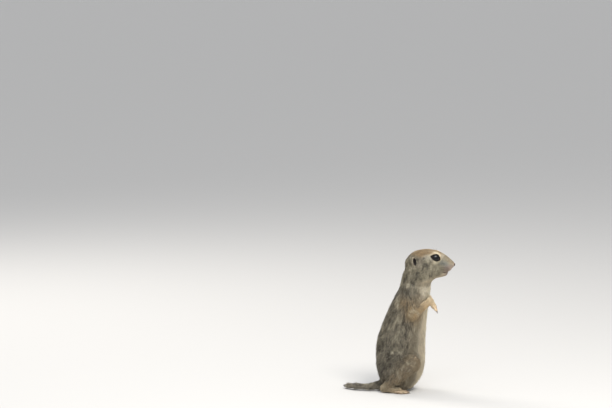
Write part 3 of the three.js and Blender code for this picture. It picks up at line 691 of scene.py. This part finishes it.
def paint_body(colours, x, z, weight, round_way, waver):
    # Painted shade: a dark arc in the crease along the top of the thigh
    thigh_crease_shade = bump_of(weight["thigh"], 0.55, 0.4) * smooth_step(z, 26, 32) * smooth_step(x, -14, 0)
    tail = weight["tail"] * fade(x, -20, -14)
    return painted(
        colours,
        # Trunk: cream below, buff along the flank's edge, darker over the back, with painted shade over the
        # low rump
        (FLANK, bump_of(round_way, 55, 38) * 0.8),
        (BACK_AND_RUMP_SHADE, smooth_step(round_way, 105, 165) * 0.8),
        # Painted shade: the back's dark colour laid low over the rear of the trunk
        (BACK_AND_RUMP_SHADE, fade(z, 30, 62) * smooth_step(round_way, 60, 110) * 0.6),
        (CREAM, fade(round_way, 22, 48)),
        (THROAT, smooth_step(z, 70, 84) * fade(round_way, 40, 70)),
        # Legs and arms, with painted shade in the crease where the thigh meets the trunk
        (THIGH, weight["thigh"] * smooth_step(round_way, 40, 70)),
        (DARK_FLECK_AND_SHADE, thigh_crease_shade * 0.4),
        (SHANK, weight["shank"]),
        (FOOT_BUFF, weight["foot"]),
        (BUFF, weight["upper_arm"] * 0.75 * fade(z - waver * 6, 82, 97)),
        (BUFF, weight["forearm"]),
        (PAW_BUFF, weight["hand"]),
        # Tail: painted shade along its lower edge, where it lies on the floor, and dark at its tip
        (TAIL_TOP, tail),
        # Painted shade under the tail, just above the floor
        (TAIL_TIP_AND_SHADE, tail * fade(z, 1.2, 3.4) * 0.85),
        (TAIL_TIP_AND_SHADE, tail * fade(x, -54, -44) * 0.55),
    )


def markings(points):
    """Colours at points of the skin, how much the coat is ticked, and how far in an ear's cup each is."""
    x, y, z = points.T
    weight = dict(zip(PARTS, part_weights(part_forms(x, y, z), z, 2.6)))
    head = weight["head"]
    hx, hy = to_head(x, y)
    side = np.abs(hy)
    waver = noise(points, 7, 3) - 0.5
    fine = noise(points, 2.2, 4) - 0.5
    back, front, half_side = read(TRUNK_CURVE, z)
    forward = (x - (front + back) / 2) / ((front - back) / 2)
    round_way = np.degrees(np.arctan2(np.abs(y) / half_side, forward)) + waver * 22
    colours = paint_body(np.tile(GRIZZLE, (len(points), 1)), x, z, weight, round_way, waver)

    # The eye has a dark rim at the lids' edge inside a wide pale ring, strongest above
    along, across, out = eye_axes(hx, hy, z)
    gap = lid_gap(along, across)
    near_eye = head * (out > 0)
    above = smooth_step(across, -3.2, 3.0)
    ring = bump_of(gap, 1.5, 2.2) * (0.35 + 0.65 * above)
    behind = fade(along, -4.6, -2.2) * (1 - above) * 0.5
    corner = smooth_step(np.abs(along), 3.0, 4.6) * fade(gap, 0.3, 1.3)

    crown = head * smooth_step(z + waver * 2.5, 123.5, 128.0) * smooth_step(hx, 6, 14)
    bridge = head * smooth_step(hx + waver * 3, 36, 41) * smooth_step(z - 0.75 * (44 - hx), 118.5, 122)
    jaw = head * fade(z + 0.25 * (38 - hx), 107, 111.5) * smooth_step(hx, 10, 24)
    streak = bump_of(z - 0.35 * (42 - hx), 118.6, 4.2) * smooth_step(hx, 35, 38) * fade(hx, 42.5, 46)
    ear = ear_axes(hx, hy, z)
    in_cup = head * fade(ellipsoid(*ear, *EAR_CUP), 0.05, 0.5)
    in_fold = head * fade(ellipsoid(*ear, *EAR_FOLD), 0.1, 0.5)
    lips = head * fade(mouth_gap(hx, z), 0.25, 0.8) * smooth_step(hx, 37.5, 39.5)
    digits = np.minimum(*toes_and_fingers(x, y, z))
    colours = painted(
        colours,
        (CHEEK, head * fade(z, 121, 127) * 0.9),
        (CROWN, crown),
        (BRIDGE, bridge),
        (JAW, jaw * 0.9),
        (MUZZLE, head * smooth_step(hx, 38.5, 43) * fade(z, 116, 119.5) * 0.85),
        (STREAK, head * streak * smooth_step(side, 3.2, 5) * 0.6),
        (EAR_FRONT, head * bump_of(hx, 18.8, 4.5) * bump_of(z, 119.5, 6.5) * 0.7),
        (THROAT, head * fade(z, 112.2, 113.6) * smooth_step(hx, 44, 46) * 0.5),
        (EYE_RING, near_eye * (ring - behind)),
        (LID_RIM_AND_NOSTRIL_SHADE, near_eye * np.maximum(fade(gap, 0.25, 0.6), corner)),
        (EAR_RIM, head * fade(ellipsoid(*ear, *PINNA), 0.3, 1.2) * 0.8),
        # Painted shade: the ear's cup and the fold inside it painted near black
        (EAR_CUP_SHADE, np.maximum(in_cup, in_fold)),
        (LIP, lips * (0.55 + 0.45 * bump_of(hx, 40, 2.5))),
        (NOSE, head * fade(ellipsoid(hx, side, z, *NOSE_PAD), -0.1, 0.5)),
        # Painted shade: the nostrils' hollows painted near black
        (LID_RIM_AND_NOSTRIL_SHADE, head * fade(ellipsoid(hx, side, z, *NOSTRIL), 0, 0.5)),
        (BARE_TOE, fade(digits, 0, 0.7) * (0.4 + fine * 0.6)),
        (BARE_TOE, weight["foot"] * fade(z, 0.3, 0.9)),
    )

    # The ticking is strong over the back and neck, and weak on the pale and buff places
    pale_place = fade(round_way, 42, 68) * (1 - head)
    paws = (weight["hand"], weight["foot"], weight["forearm"] * 0.7)
    ticking = 1 - np.maximum.reduce((pale_place, *paws, jaw, near_eye * ring, crown * 0.7))
    ticking *= (1 - head * smooth_step(hx, 30, 40) * 0.75) * (1 - np.clip(in_cup * 2, 0, 1))
    colours *= (1 + waver * 0.22 + fine * 0.16)[:, None]
    return np.clip(colours, 0.002, 0.95), np.clip(ticking, 0, 1), np.clip(in_cup, 0, 1)


def ticked(points, colours, ticking, size):
    """The colours with the dark and pale blotches of a grizzled coat, drawn out along the body."""
    at = points * (1, 1, 0.45)
    blotch = noise(at, size * 2.2, 31) * 0.45 + noise(at, size, 32) * 0.55
    dark, pale = smooth_step(blotch, 0.53, 0.74), fade(blotch, 0.24, 0.43)
    return painted(colours, (DARK_FLECK_AND_SHADE, dark * ticking * 0.75), (FLECK_PALE, pale * ticking * 0.6))


# Materials
def set_inputs(node, inputs):
    for name, value in inputs.items():
        node.inputs[name.replace("_", " ")].default_value = value


def new_material(name, **inputs):
    material = bpy.data.materials.new(name)
    material.use_nodes = True
    shader = material.node_tree.nodes["Principled BSDF"]
    set_inputs(shader, inputs)
    return material, material.node_tree, shader


def add_node(tree, kind, **inputs):
    node = tree.nodes.new("ShaderNode" + kind)
    set_inputs(node, inputs)
    return node


def link(tree, source, output, target, name):
    tree.links.new(source.outputs[output], target.inputs[name])


def multiplied(tree, kind, a, a_output, b, b_output):
    times = add_node(tree, kind)
    times.operation = "MULTIPLY"
    link(tree, a, a_output, times, 0)
    link(tree, b, b_output, times, 1)
    return times


def add_attribute(tree, name):
    node = add_node(tree, "Attribute")
    node.attribute_name = name
    return node


def add_noise(tree, scale, detail, roughness):
    """Noise in the object's own space."""
    grain = add_node(tree, "TexNoise", Scale=scale, Detail=detail, Roughness=roughness)
    link(tree, add_node(tree, "TexCoord"), "Object", grain, "Vector")
    return grain


def painted_material(name, scale, low, high, **inputs):
    """A material of the painted colour, made darker and lighter by fine noise."""
    material, tree, shader = new_material(name, **inputs)
    grain = add_noise(tree, scale, 3.0, 0.6)
    levels = add_node(tree, "MapRange", To_Min=low, To_Max=high)
    link(tree, grain, "Fac", levels, "Value")
    times = multiplied(tree, "VectorMath", add_attribute(tree, "coat_colour"), "Color", levels, "Result")
    link(tree, times, "Vector", shader, "Base Color")
    return material, tree, shader, grain


def add_bump(tree, shader, grain, strength, distance):
    bump = add_node(tree, "Bump", Strength=strength, Distance=distance)
    link(tree, grain, "Fac", bump, "Height")
    link(tree, bump, "Normal", shader, "Normal")


def coat_material():
    hair = {"Roughness": 0.72, "Specular_IOR_Level": 0.22, "Sheen_Weight": 0.12, "Sheen_Roughness": 0.5}
    return painted_material("coat_hair", 900.0, 0.78, 1.22, **hair)[0]


def skin_material():
    """Short hair and bare skin, with fine pores."""
    flesh = {
        "Roughness": 0.66,
        "Specular_IOR_Level": 0.28,
        "Subsurface_Weight": 0.06,
        "Subsurface_Radius": (0.0012, 0.0006, 0.0004),
        "Subsurface_Scale": 0.6,
    }
    material, tree, shader, _ = painted_material("skin", 1500.0, 0.72, 1.28, **flesh)
    add_bump(tree, shader, add_noise(tree, 3200.0, 2.0, 0.55), 0.35, 0.00012)
    return material


def eye_material():
    """A dark brown iris round a wide black pupil, under a wet clear front."""
    front = {"Coat_Weight": 0.12, "Coat_Roughness": 0.02}
    material, tree, shader = new_material("eye", Roughness=0.06, Specular_IOR_Level=0.25, **front)
    streaks = add_noise(tree, 1400.0, 4.0, 0.65)
    mottle = multiplied(tree, "Math", add_attribute(tree, "iris"), "Fac", streaks, "Fac")
    ramp = add_node(tree, "ValToRGB")
    ramp.color_ramp.elements[0].color = (0.0014, 0.0013, 0.0016, 1)
    ramp.color_ramp.elements[1].color = (0.026, 0.013, 0.007, 1)
    link(tree, mottle, "Value", ramp, "Fac")
    link(tree, ramp, "Color", shader, "Base Color")
    return material


def horn_material():
    material, tree, shader, grain = painted_material(
        "claw_horn", 2600.0, 0.7, 1.3, Roughness=0.34, Specular_IOR_Level=0.5
    )
    add_bump(tree, shader, grain, 0.2, 0.00005)
    return material


def whisker_material():
    return painted_material("whisker_hair", 700.0, 0.85, 1.15, Roughness=0.4, Specular_IOR_Level=0.45)[0]


# Meshes
def new_mesh(name, points, faces, material, colours=None):
    """A smooth object of points in the animal's frame and one or two arrays of faces."""
    mesh = bpy.data.meshes.new(name)
    mesh.vertices.add(len(points))
    mesh.vertices.foreach_set("co", ((points + SHIFT) * MM).astype(np.float32).ravel())
    corners = np.concatenate([group.ravel() for group in faces])
    starts = np.cumsum([0] + [group.shape[1] for group in faces for _ in group])[:-1]
    mesh.loops.add(len(corners))
    mesh.loops.foreach_set("vertex_index", corners.astype(np.int32))
    mesh.polygons.add(len(starts))
    mesh.polygons.foreach_set("loop_start", starts.astype(np.int32))
    mesh.update(calc_edges=True)
    mesh.validate()
    mesh.shade_smooth()
    if colours is not None:
        layer = mesh.color_attributes.new("coat_colour", "FLOAT_COLOR", "POINT")
        opaque = np.column_stack((colours, np.ones(len(colours))))
        layer.data.foreach_set("color", opaque.astype(np.float32).ravel())
    mesh.materials.append(material)
    thing = bpy.data.objects.new(name, mesh)
    bpy.context.scene.collection.objects.link(thing)
    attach(thing, BODY)
    return thing


def ring_faces(count, sides):
    """The quads along rings of points, and the triangles to one more point at each end."""
    index = np.arange(count * sides).reshape(count, sides)
    after = np.roll(index, -1, axis=1)
    quads = np.stack((index[:-1], after[:-1], after[1:], index[1:]), axis=-1).reshape(-1, 4)
    first, last = np.full(sides, count * sides), np.full(sides, count * sides + 1)
    ends = np.hstack(((after[0], index[0], first), (index[-1], after[-1], last))).T
    return quads, ends


def tube(line, radii, sides):
    """A closed tapered tube along a line: its points, its quads and its end triangles."""
    way = unit(np.gradient(line, axis=0))
    up = unit(np.cross(way, (0.13, 0.92, 0.37)))
    over = np.cross(way, up)
    angle = (np.arange(sides) / sides * 2 * math.pi)[:, None]
    ring = up[:, None] * np.cos(angle) + over[:, None] * np.sin(angle)
    points = (line[:, None] + ring * radii[:, None, None]).reshape(-1, 3)
    return np.vstack((points, line[0], line[-1])), *ring_faces(len(line), sides)


def joined(pieces):
    """Several (points, quads, triangles) as one."""
    points, *faces = zip(*pieces)
    starts = np.cumsum([0] + [len(own) for own in points])
    faces = [np.vstack([own + start for own, start in zip(group, starts)]) for group in faces]
    return np.vstack(points), faces


# Skin
SKIN_GRID = (
    uneven((-58, -22, 1.1), (-22, 6, 0.75), (6, 24, 0.5), (24, 53, 0.35)),
    uneven((-29, -18, 0.65), (-18, 18, 0.42), (18, 29, 0.65)),
    uneven((-1, 9, 0.44), (9, 68, 1.05), (68, 90, 0.5), (90, 101, 0.7), (101, 134, 0.36)),
)


def build_skin():
    points, quads = surface_net(grid_values(skin_form, *SKIN_GRID), SKIN_GRID)
    points, quads = largest_piece(points, quads)
    for _ in range(2):
        points = settle(skin_form, relaxed(points, quads, 0.4))
    points = settle(skin_form, points)
    points[:, 2] = np.maximum(points[:, 2], SOLE)
    return points, quads


def unwrap(thing):
    """An unwrap of the object's own shape, as the map OFBake. Returns each face corner's place in it."""
    thing.data.uv_layers.new(name="OFBake")
    bpy.context.view_layer.objects.active = thing
    thing.select_set(True)
    bpy.ops.object.mode_set(mode="EDIT")
    bpy.ops.mesh.select_all(action="SELECT")
    bpy.ops.uv.smart_project(angle_limit=math.radians(66), island_margin=0.002)
    bpy.ops.object.mode_set(mode="OBJECT")
    thing.select_set(False)
    places = np.empty(len(thing.data.loops) * 2, np.float32)
    thing.data.uv_layers["OFBake"].data.foreach_get("uv", places)
    return places.reshape(-1, 4, 2)


# Coat
TUFTS = 118000
COAT_PIECES = 8
PATCH = 0.003  # how wide a tuft's own patch of the unwrap is
TUFT_THICKNESS = 0.4  # of its width
TUFT_ROOT = 0.12  # how deep its root is in the skin
TUFT_FLOOR = 0.04 + np.arange(7) * 0.01  # the lowest that each of its corners lies
# Each corner's place in the tuft's patch, across it and along it, and the faces of a tuft
TUFT_PATCH = np.array(((-1, -1), (1, -1), (0, -1), (-1, 0), (1, 0), (0, 0), (0, 1))) * PATCH / 2
TUFT_QUADS = np.array(((0, 2, 5, 3), (2, 1, 4, 5), (1, 0, 3, 4)))
TUFT_TRIANGLES = np.array(((3, 5, 6), (5, 4, 6), (4, 3, 6), (0, 1, 2)))


def lie_of_coat(points, normals, weights):
    """Which way the coat lies on the skin at each point."""
    x, y, z = points.T
    hx, _ = to_head(x, y)
    cheek = (fade(z, 106, 117) * fade(hx, 28, 38))[:, None]
    over_head = mixed(turn((-1, 0, -0.12)), turn((-0.75, 0, -0.65)), cheek)
    down_nape = mixed(over_head, np.array((-0.45, 0, -0.9)), fade(hx, 6, 24)[:, None])
    own_side = np.where((False, True, False), np.sign(y)[:, None], 1)
    tail = np.array([joint for joint, _ in TAIL])
    nearest = np.argmin(np.abs(x[:, None] - tail[:-1, 0] + 4), axis=1)
    ways = {
        "trunk": np.array((-0.12, 0, -1.0)),
        "head": down_nape,
        "thigh": np.array((-0.35, 0, -1.0)),
        "shank": np.subtract(HEEL, KNEE),
        "foot": np.array((1.0, 0, -0.1)),
        "upper_arm": np.array((0.25, 0, -1.0)),
        "forearm": np.subtract(WRIST, ELBOW) * own_side,
        "hand": np.subtract(KNUCKLES, WRIST) * own_side,
        "tail": unit(np.diff(tail, axis=0))[nearest] - normals * fade(x, -50, -42)[:, None] * 0.5,
    }
    way = unit(sum(weight[:, None] * unit(ways[part]) for part, weight in zip(PARTS, weights)))
    way += np.stack([noise(points, 6, seed) - 0.5 for seed in (21, 22, 23)], axis=1) * 0.5
    return unit(way - normals * (way * normals).sum(1, keepdims=True))


def bareness(points, normals, in_cup):
    """1 where no tuft grows: lid edges, ear cups, nose, lips, soles and the ends of the digits."""
    x, y, z = points.T
    hx, hy = to_head(x, y)
    along, across, out = eye_axes(hx, hy, z)
    digits = np.minimum(*toes_and_fingers(x, y, z))
    return np.maximum.reduce(
        (
            fade(lid_gap(along, across), 0.35, 0.75) * ((out > 0) & (z > 110)),
            smooth_step(in_cup, 0.2, 0.6),
            fade(ellipsoid(hx, np.abs(hy), z, *NOSE_PAD), 0, 0.6),
            fade(mouth_gap(hx, z), 0.2, 0.5) * (hx > 38),
            fade(digits, 0.02, 0.5) * 0.65,
            fade(normals[:, 2], -0.7, -0.35) * fade(z, 1.5, 3.0),
        )
    )


def weights_at(points):
    """How much each part counts at each point, and how short the coat is there."""
    weights = part_weights(part_forms(*points.T), points[:, 2])
    return weights, shortness(*points.T, weights)


def grow_tufts(points, quads, places, in_cup):
    """Roots spread over the skin as densely as its coat is, their ways out and their places in the map."""
    normals = point_normals(points, quads)
    weights, short = weights_at(points)
    crowd = coat_here(weights, 3) * (1 + 0.7 * short) * (1 - bareness(points, normals, in_cup))
    a, b, c, d = (points[quads[:, n]] for n in range(4))
    area = np.linalg.norm(np.cross(c - a, d - b), axis=1) / 2
    chance = np.cumsum(area * crowd[quads].mean(1))
    face = np.searchsorted(chance, rng.random(TUFTS) * chance[-1])
    u, v = rng.random((2, TUFTS, 1))
    shares = np.stack(((1 - u) * (1 - v), u * (1 - v), u * v, (1 - u) * v), axis=1)
    roots, out = ((values[quads[face]] * shares).sum(1) for values in (points, normals))
    return roots, unit(out), (places[face] * shares).sum(1)


def tuft_corners(roots, out):
    """Seven corners of each tuft: three round its root, three round its middle, and its tip."""
    weights, short = weights_at(roots)
    guard = (rng.random(TUFTS) < GUARD_SHARE) * (1 - short)
    length = coat_here(weights, 1) * (1 - 0.5 * short) * rng.uniform(0.72, 1.12, TUFTS) * (1 + 0.4 * guard)
    length = length * (1 - 0.35 * fade(roots[:, 0], -50, -38))
    width = coat_here(weights, 2) * (1 - 0.35 * short) * rng.uniform(0.75, 1.25, TUFTS) * (1 - 0.25 * guard)
    lie = lie_of_coat(roots, out, weights)
    lie = unit(lie + np.cross(lie, out) * rng.normal(0, 0.12, (TUFTS, 1)))
    rise = np.clip(coat_depth(weights, short) / length, 0.08, 0.6)
    rise = (rise * rng.uniform(0.7, 1.05, TUFTS) * (1 + 0.45 * guard))[:, None]
    half = length[:, None] / 2
    middle = roots + unit(lie + out * rise * 1.25) * half
    tip = middle + unit(lie + out * rise * 0.75) * half
    flat = np.cross(lie, out) * width[:, None] / 2
    crest = out * (width * TUFT_THICKNESS)[:, None]
    base = roots - out * TUFT_ROOT
    around = np.stack((-flat, flat, crest), axis=1)
    corners = np.concatenate((base[:, None] + around, middle[:, None] + around * 0.8, tip[:, None]), axis=1)
    corners[..., 2] = np.maximum(corners[..., 2], TUFT_FLOOR)
    return corners


def tuft_colours(roots):
    """A tuft is darker at its root, and its tip may be dark or pale where the coat is ticked."""
    colours, ticking, _ = markings(roots)
    colours = ticked(roots, colours, ticking, 1.4) * rng.normal(1, 0.10, (TUFTS, 1))
    kind = rng.random(TUFTS)
    dark = (kind < 0.24) * ticking
    pale = (kind > 0.76) * np.maximum(ticking, 0.25)
    base = colours * (0.82 - 0.22 * ticking)[:, None]
    middle = painted(colours, (DARK_FLECK_AND_SHADE, dark * 0.45), (FLECK_PALE, pale * 0.3))
    tip = painted(colours * 1.06, (DARK_FLECK_AND_SHADE, dark * 0.8), (FLECK_PALE, pale * 0.65))
    return np.clip(np.stack((base, base, base, middle, middle, middle, tip), axis=1), 0.001, 0.95)


def build_coat(points, quads, places, in_cup, material):
    roots, out, map_places = grow_tufts(points, quads, places, in_cup)
    corners = tuft_corners(roots, out)
    colours = tuft_colours(roots)
    group = rng.integers(0, COAT_PIECES, TUFTS)
    for n in range(COAT_PIECES):
        mine = np.flatnonzero(group == n)
        start = (np.arange(len(mine)) * 7)[:, None, None]
        faces = [(TUFT_QUADS + start).reshape(-1, 4), (TUFT_TRIANGLES + start).reshape(-1, 3)]
        piece = new_mesh(
            f"coat_{n + 1}", corners[mine].reshape(-1, 3), faces, material, colours[mine].reshape(-1, 3)
        )
        spots = (map_places[mine][:, None] + TUFT_PATCH).reshape(-1, 2)
        spots = spots[np.concatenate([own.ravel() for own in faces])]
        layer = piece.data.uv_layers.new(name="OFBake")
        layer.data.foreach_set("uv", np.clip(spots, 0, 1).astype(np.float32).ravel())


# Eyes
EYE_RINGS, EYE_SIDES = 40, 56
CORNEA = 0.035  # how much further out the clear front stands, of the ball's radius
CORNEA_EDGE = 0.45  # and how far out it begins
IRIS_INNER, IRIS_OUTER = (34, 39), (62, 70)  # where its edges fade, in degrees from the middle


def build_eyes(material):
    latitude = np.linspace(0, math.pi, EYE_RINGS + 1)[1:-1]
    angle = (np.arange(EYE_SIDES) / EYE_SIDES * 2 * math.pi)[:, None]
    reach = np.cos(latitude)[:, None, None]
    height = reach + CORNEA * np.maximum(reach - CORNEA_EDGE, 0) / (1 - CORNEA_EDGE)
    degrees = np.degrees(np.concatenate((latitude.repeat(EYE_SIDES), (0, math.pi))))
    for name, side in SIDES:
        outward, forward, up = (axis * (1, side, 1) for axis in (EYE_OUTWARD, EYE_FORWARD, EYE_UP))
        ring = forward * np.cos(angle) + up * np.sin(angle) * side
        ball = (ring * np.sin(latitude)[:, None, None] + outward * height).reshape(-1, 3)
        ball = np.vstack((ball, outward * (1 + CORNEA), -outward)) * EYE_RADIUS + EYE * (1, side, 1)
        eye = new_mesh(f"eyeball_{name}", place(ball.T).T, ring_faces(len(latitude), EYE_SIDES), material)
        iris = smooth_step(degrees, *IRIS_INNER) * fade(degrees, *IRIS_OUTER)
        layer = eye.data.attributes.new("iris", "FLOAT", "POINT")
        layer.data.foreach_set("value", iris.astype(np.float32))
        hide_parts(f"eye_{name}")


# Claws
CLAW_SIDES = 8
CLAW_FLOOR = 0.16  # the lowest that the middle of a claw lies


def build_claws(material):
    for paw, lines, step, radius in (
        ("hind_foot", TOE_LINES, LEG_STEP, 0.52),
        ("forepaw", FINGER_LINES, ARM_STEP, 0.42),
    ):
        for name, side in SIDES:
            pieces = []
            for _, claw in lines:
                root = claw[0] - (claw[1] - claw[0]) * 0.45
                line = (smooth_table(np.array([root, *claw]), 3) + (step[side], 0, 0)) * (1, side, 1)
                line[:, 2] = np.maximum(line[:, 2], CLAW_FLOOR)
                share = np.linspace(0, 1, len(line))
                pieces.append(tube(line, radius * (1 - share**1.6 * 0.85), CLAW_SIDES))
            along = np.tile(np.append(share.repeat(CLAW_SIDES), (0, 1)), len(lines))
            colours = mixed(CLAW_ROOT, CLAW_TIP, along[:, None] ** 1.5)
            new_mesh(f"claws_{paw}_{name}", *joined(pieces), material, colours)


# Whiskers
def surface_side(x, z):
    """How far the muzzle's skin is from the head's middle plane, in the head's own frame."""
    sides = np.linspace(0, 12, 241)
    inside = skin_form(*place(np.stack(np.broadcast_arrays(x, sides, z)))) < 0
    return sides[np.flatnonzero(inside)[-1]] if inside.any() else 3.0


def hair(root, way, length):
    """A fine hair that bends back and down."""
    way = unit(way)
    share = np.linspace(0, 1, 9)[:, None]
    line = root + way * (length * share - 0.4) + np.array((-0.22, 0, -0.16)) * length * share**2
    return tube(place(line.T).T, 0.075 * (1 - share[:, 0] * 0.85), 5)


def build_whiskers(material):
    """Three rows of four on each side of the muzzle, and two over each eye."""
    pieces = []
    for side in (1, -1):
        for row, column in np.ndindex(3, 4):
            x, z = 44.4 - 1.15 * column + 0.2 * row, 115.7 - 0.85 * row - 0.2 * column
            root = np.array((x, side * surface_side(x, z), z))
            way = np.array((0.15 - 0.34 * column, side * (1.0 + rng.uniform(-0.1, 0.1)), 0.22 - 0.24 * row))
            pieces.append(hair(root, way, rng.uniform(7, 11) + 1.4 * column))
        for n in range(2):
            root = np.array((33.5 - 1.6 * n, side * 5.2, 129.0))
            pieces.append(hair(root, np.array((-0.1 - 0.3 * n, side * 0.6, 0.8)), rng.uniform(4.5, 6.5)))
    points, faces = joined(pieces)
    new_mesh("whiskers", points, faces, material, np.tile(WHISKER, (len(points), 1)))


# The stage, light and camera
LIT_POINT = (0, 0, 0.08)
FLOOR_SIZE = 40.0  # metres from the middle to an edge


def build_stage():
    floor = bpy.data.meshes.new("floor")
    corners = [(x * FLOOR_SIZE, y * FLOOR_SIZE, 0) for x, y in ((-1, -1), (1, -1), (1, 1), (-1, 1))]
    floor.from_pydata(corners, [], [(0, 1, 2, 3)])
    paper = {"Base_Color": (0.62, 0.60, 0.57, 1), "Roughness": 0.9, "Specular_IOR_Level": 0.2}
    floor.materials.append(new_material("floor", **paper)[0])
    thing = bpy.data.objects.new("floor", floor)
    bpy.context.scene.collection.objects.link(thing)


def soft_light(name, at, size, power, colour):
    lamp = bpy.data.lights.new(name, "AREA")
    lamp.shape = "DISK"
    lamp.size = size
    lamp.energy = power
    lamp.color = colour
    thing = bpy.data.objects.new(name, lamp)
    thing.location = at
    thing.rotation_euler = (Vector(LIT_POINT) - Vector(at)).to_track_quat("-Z", "Y").to_euler()
    bpy.context.scene.collection.objects.link(thing)


def build_lights():
    soft_light("sun", (0.55, -0.75, 1.05), 0.5, 14.0, (1.0, 0.97, 0.92))
    soft_light("sky", (0.15, -1.0, 0.95), 0.8, 5.0, (0.78, 0.88, 1.0))
    soft_light("behind", (-0.8, 0.55, 0.9), 0.6, 7.0, (1.0, 0.98, 0.95))
    world = bpy.data.worlds.new("studio")
    world.use_nodes = True
    set_inputs(world.node_tree.nodes["Background"], {"Color": (0.88, 0.91, 0.96, 1), "Strength": 0.8})
    bpy.context.scene.world = world


def build_camera():
    azimuth, elevation = math.radians(CAMERA_AZIMUTH), math.radians(CAMERA_ELEVATION)
    right = Vector((math.cos(azimuth), math.sin(azimuth), 0))
    level = Vector((math.sin(azimuth), -math.cos(azimuth), 0))
    back = level * math.cos(elevation) + Vector((0, 0, math.sin(elevation)))
    up = back.cross(right)
    across = (PHOTO[0] / 2 - ANIMAL_PIXEL[0]) * PIXEL_MM
    rise = (ANIMAL_PIXEL[1] - PHOTO[1] / 2) * PIXEL_MM
    target = (right * across + up * rise) * MM
    camera = bpy.data.objects.new("camera", bpy.data.cameras.new("camera"))
    camera.location = target + back * CAMERA_DISTANCE * MM
    camera.rotation_euler = back.to_track_quat("Z", "Y").to_euler()
    camera.data.sensor_width = SENSOR
    camera.data.lens = SENSOR * CAMERA_DISTANCE / (PHOTO[0] * PIXEL_MM)
    camera.data.clip_start = 0.05
    camera.data.clip_end = 50
    bpy.context.scene.collection.objects.link(camera)
    bpy.context.scene.camera = camera


SKIN_NODES = [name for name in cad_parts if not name.startswith("eye_")]


def build_animal():
    points, quads = build_skin()
    colours, ticking, in_cup = markings(points)
    colours = ticked(points, colours, ticking, 1.2)
    skin = new_mesh("skin", points, [quads], skin_material(), colours)
    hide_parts(*SKIN_NODES)
    build_coat(points, quads, unwrap(skin), in_cup, coat_material())
    build_eyes(eye_material())
    build_claws(horn_material())
    build_whiskers(whisker_material())


build_camera()
build_lights()
build_stage()
build_animal()
bpy.context.scene.view_settings.view_transform = "Standard"
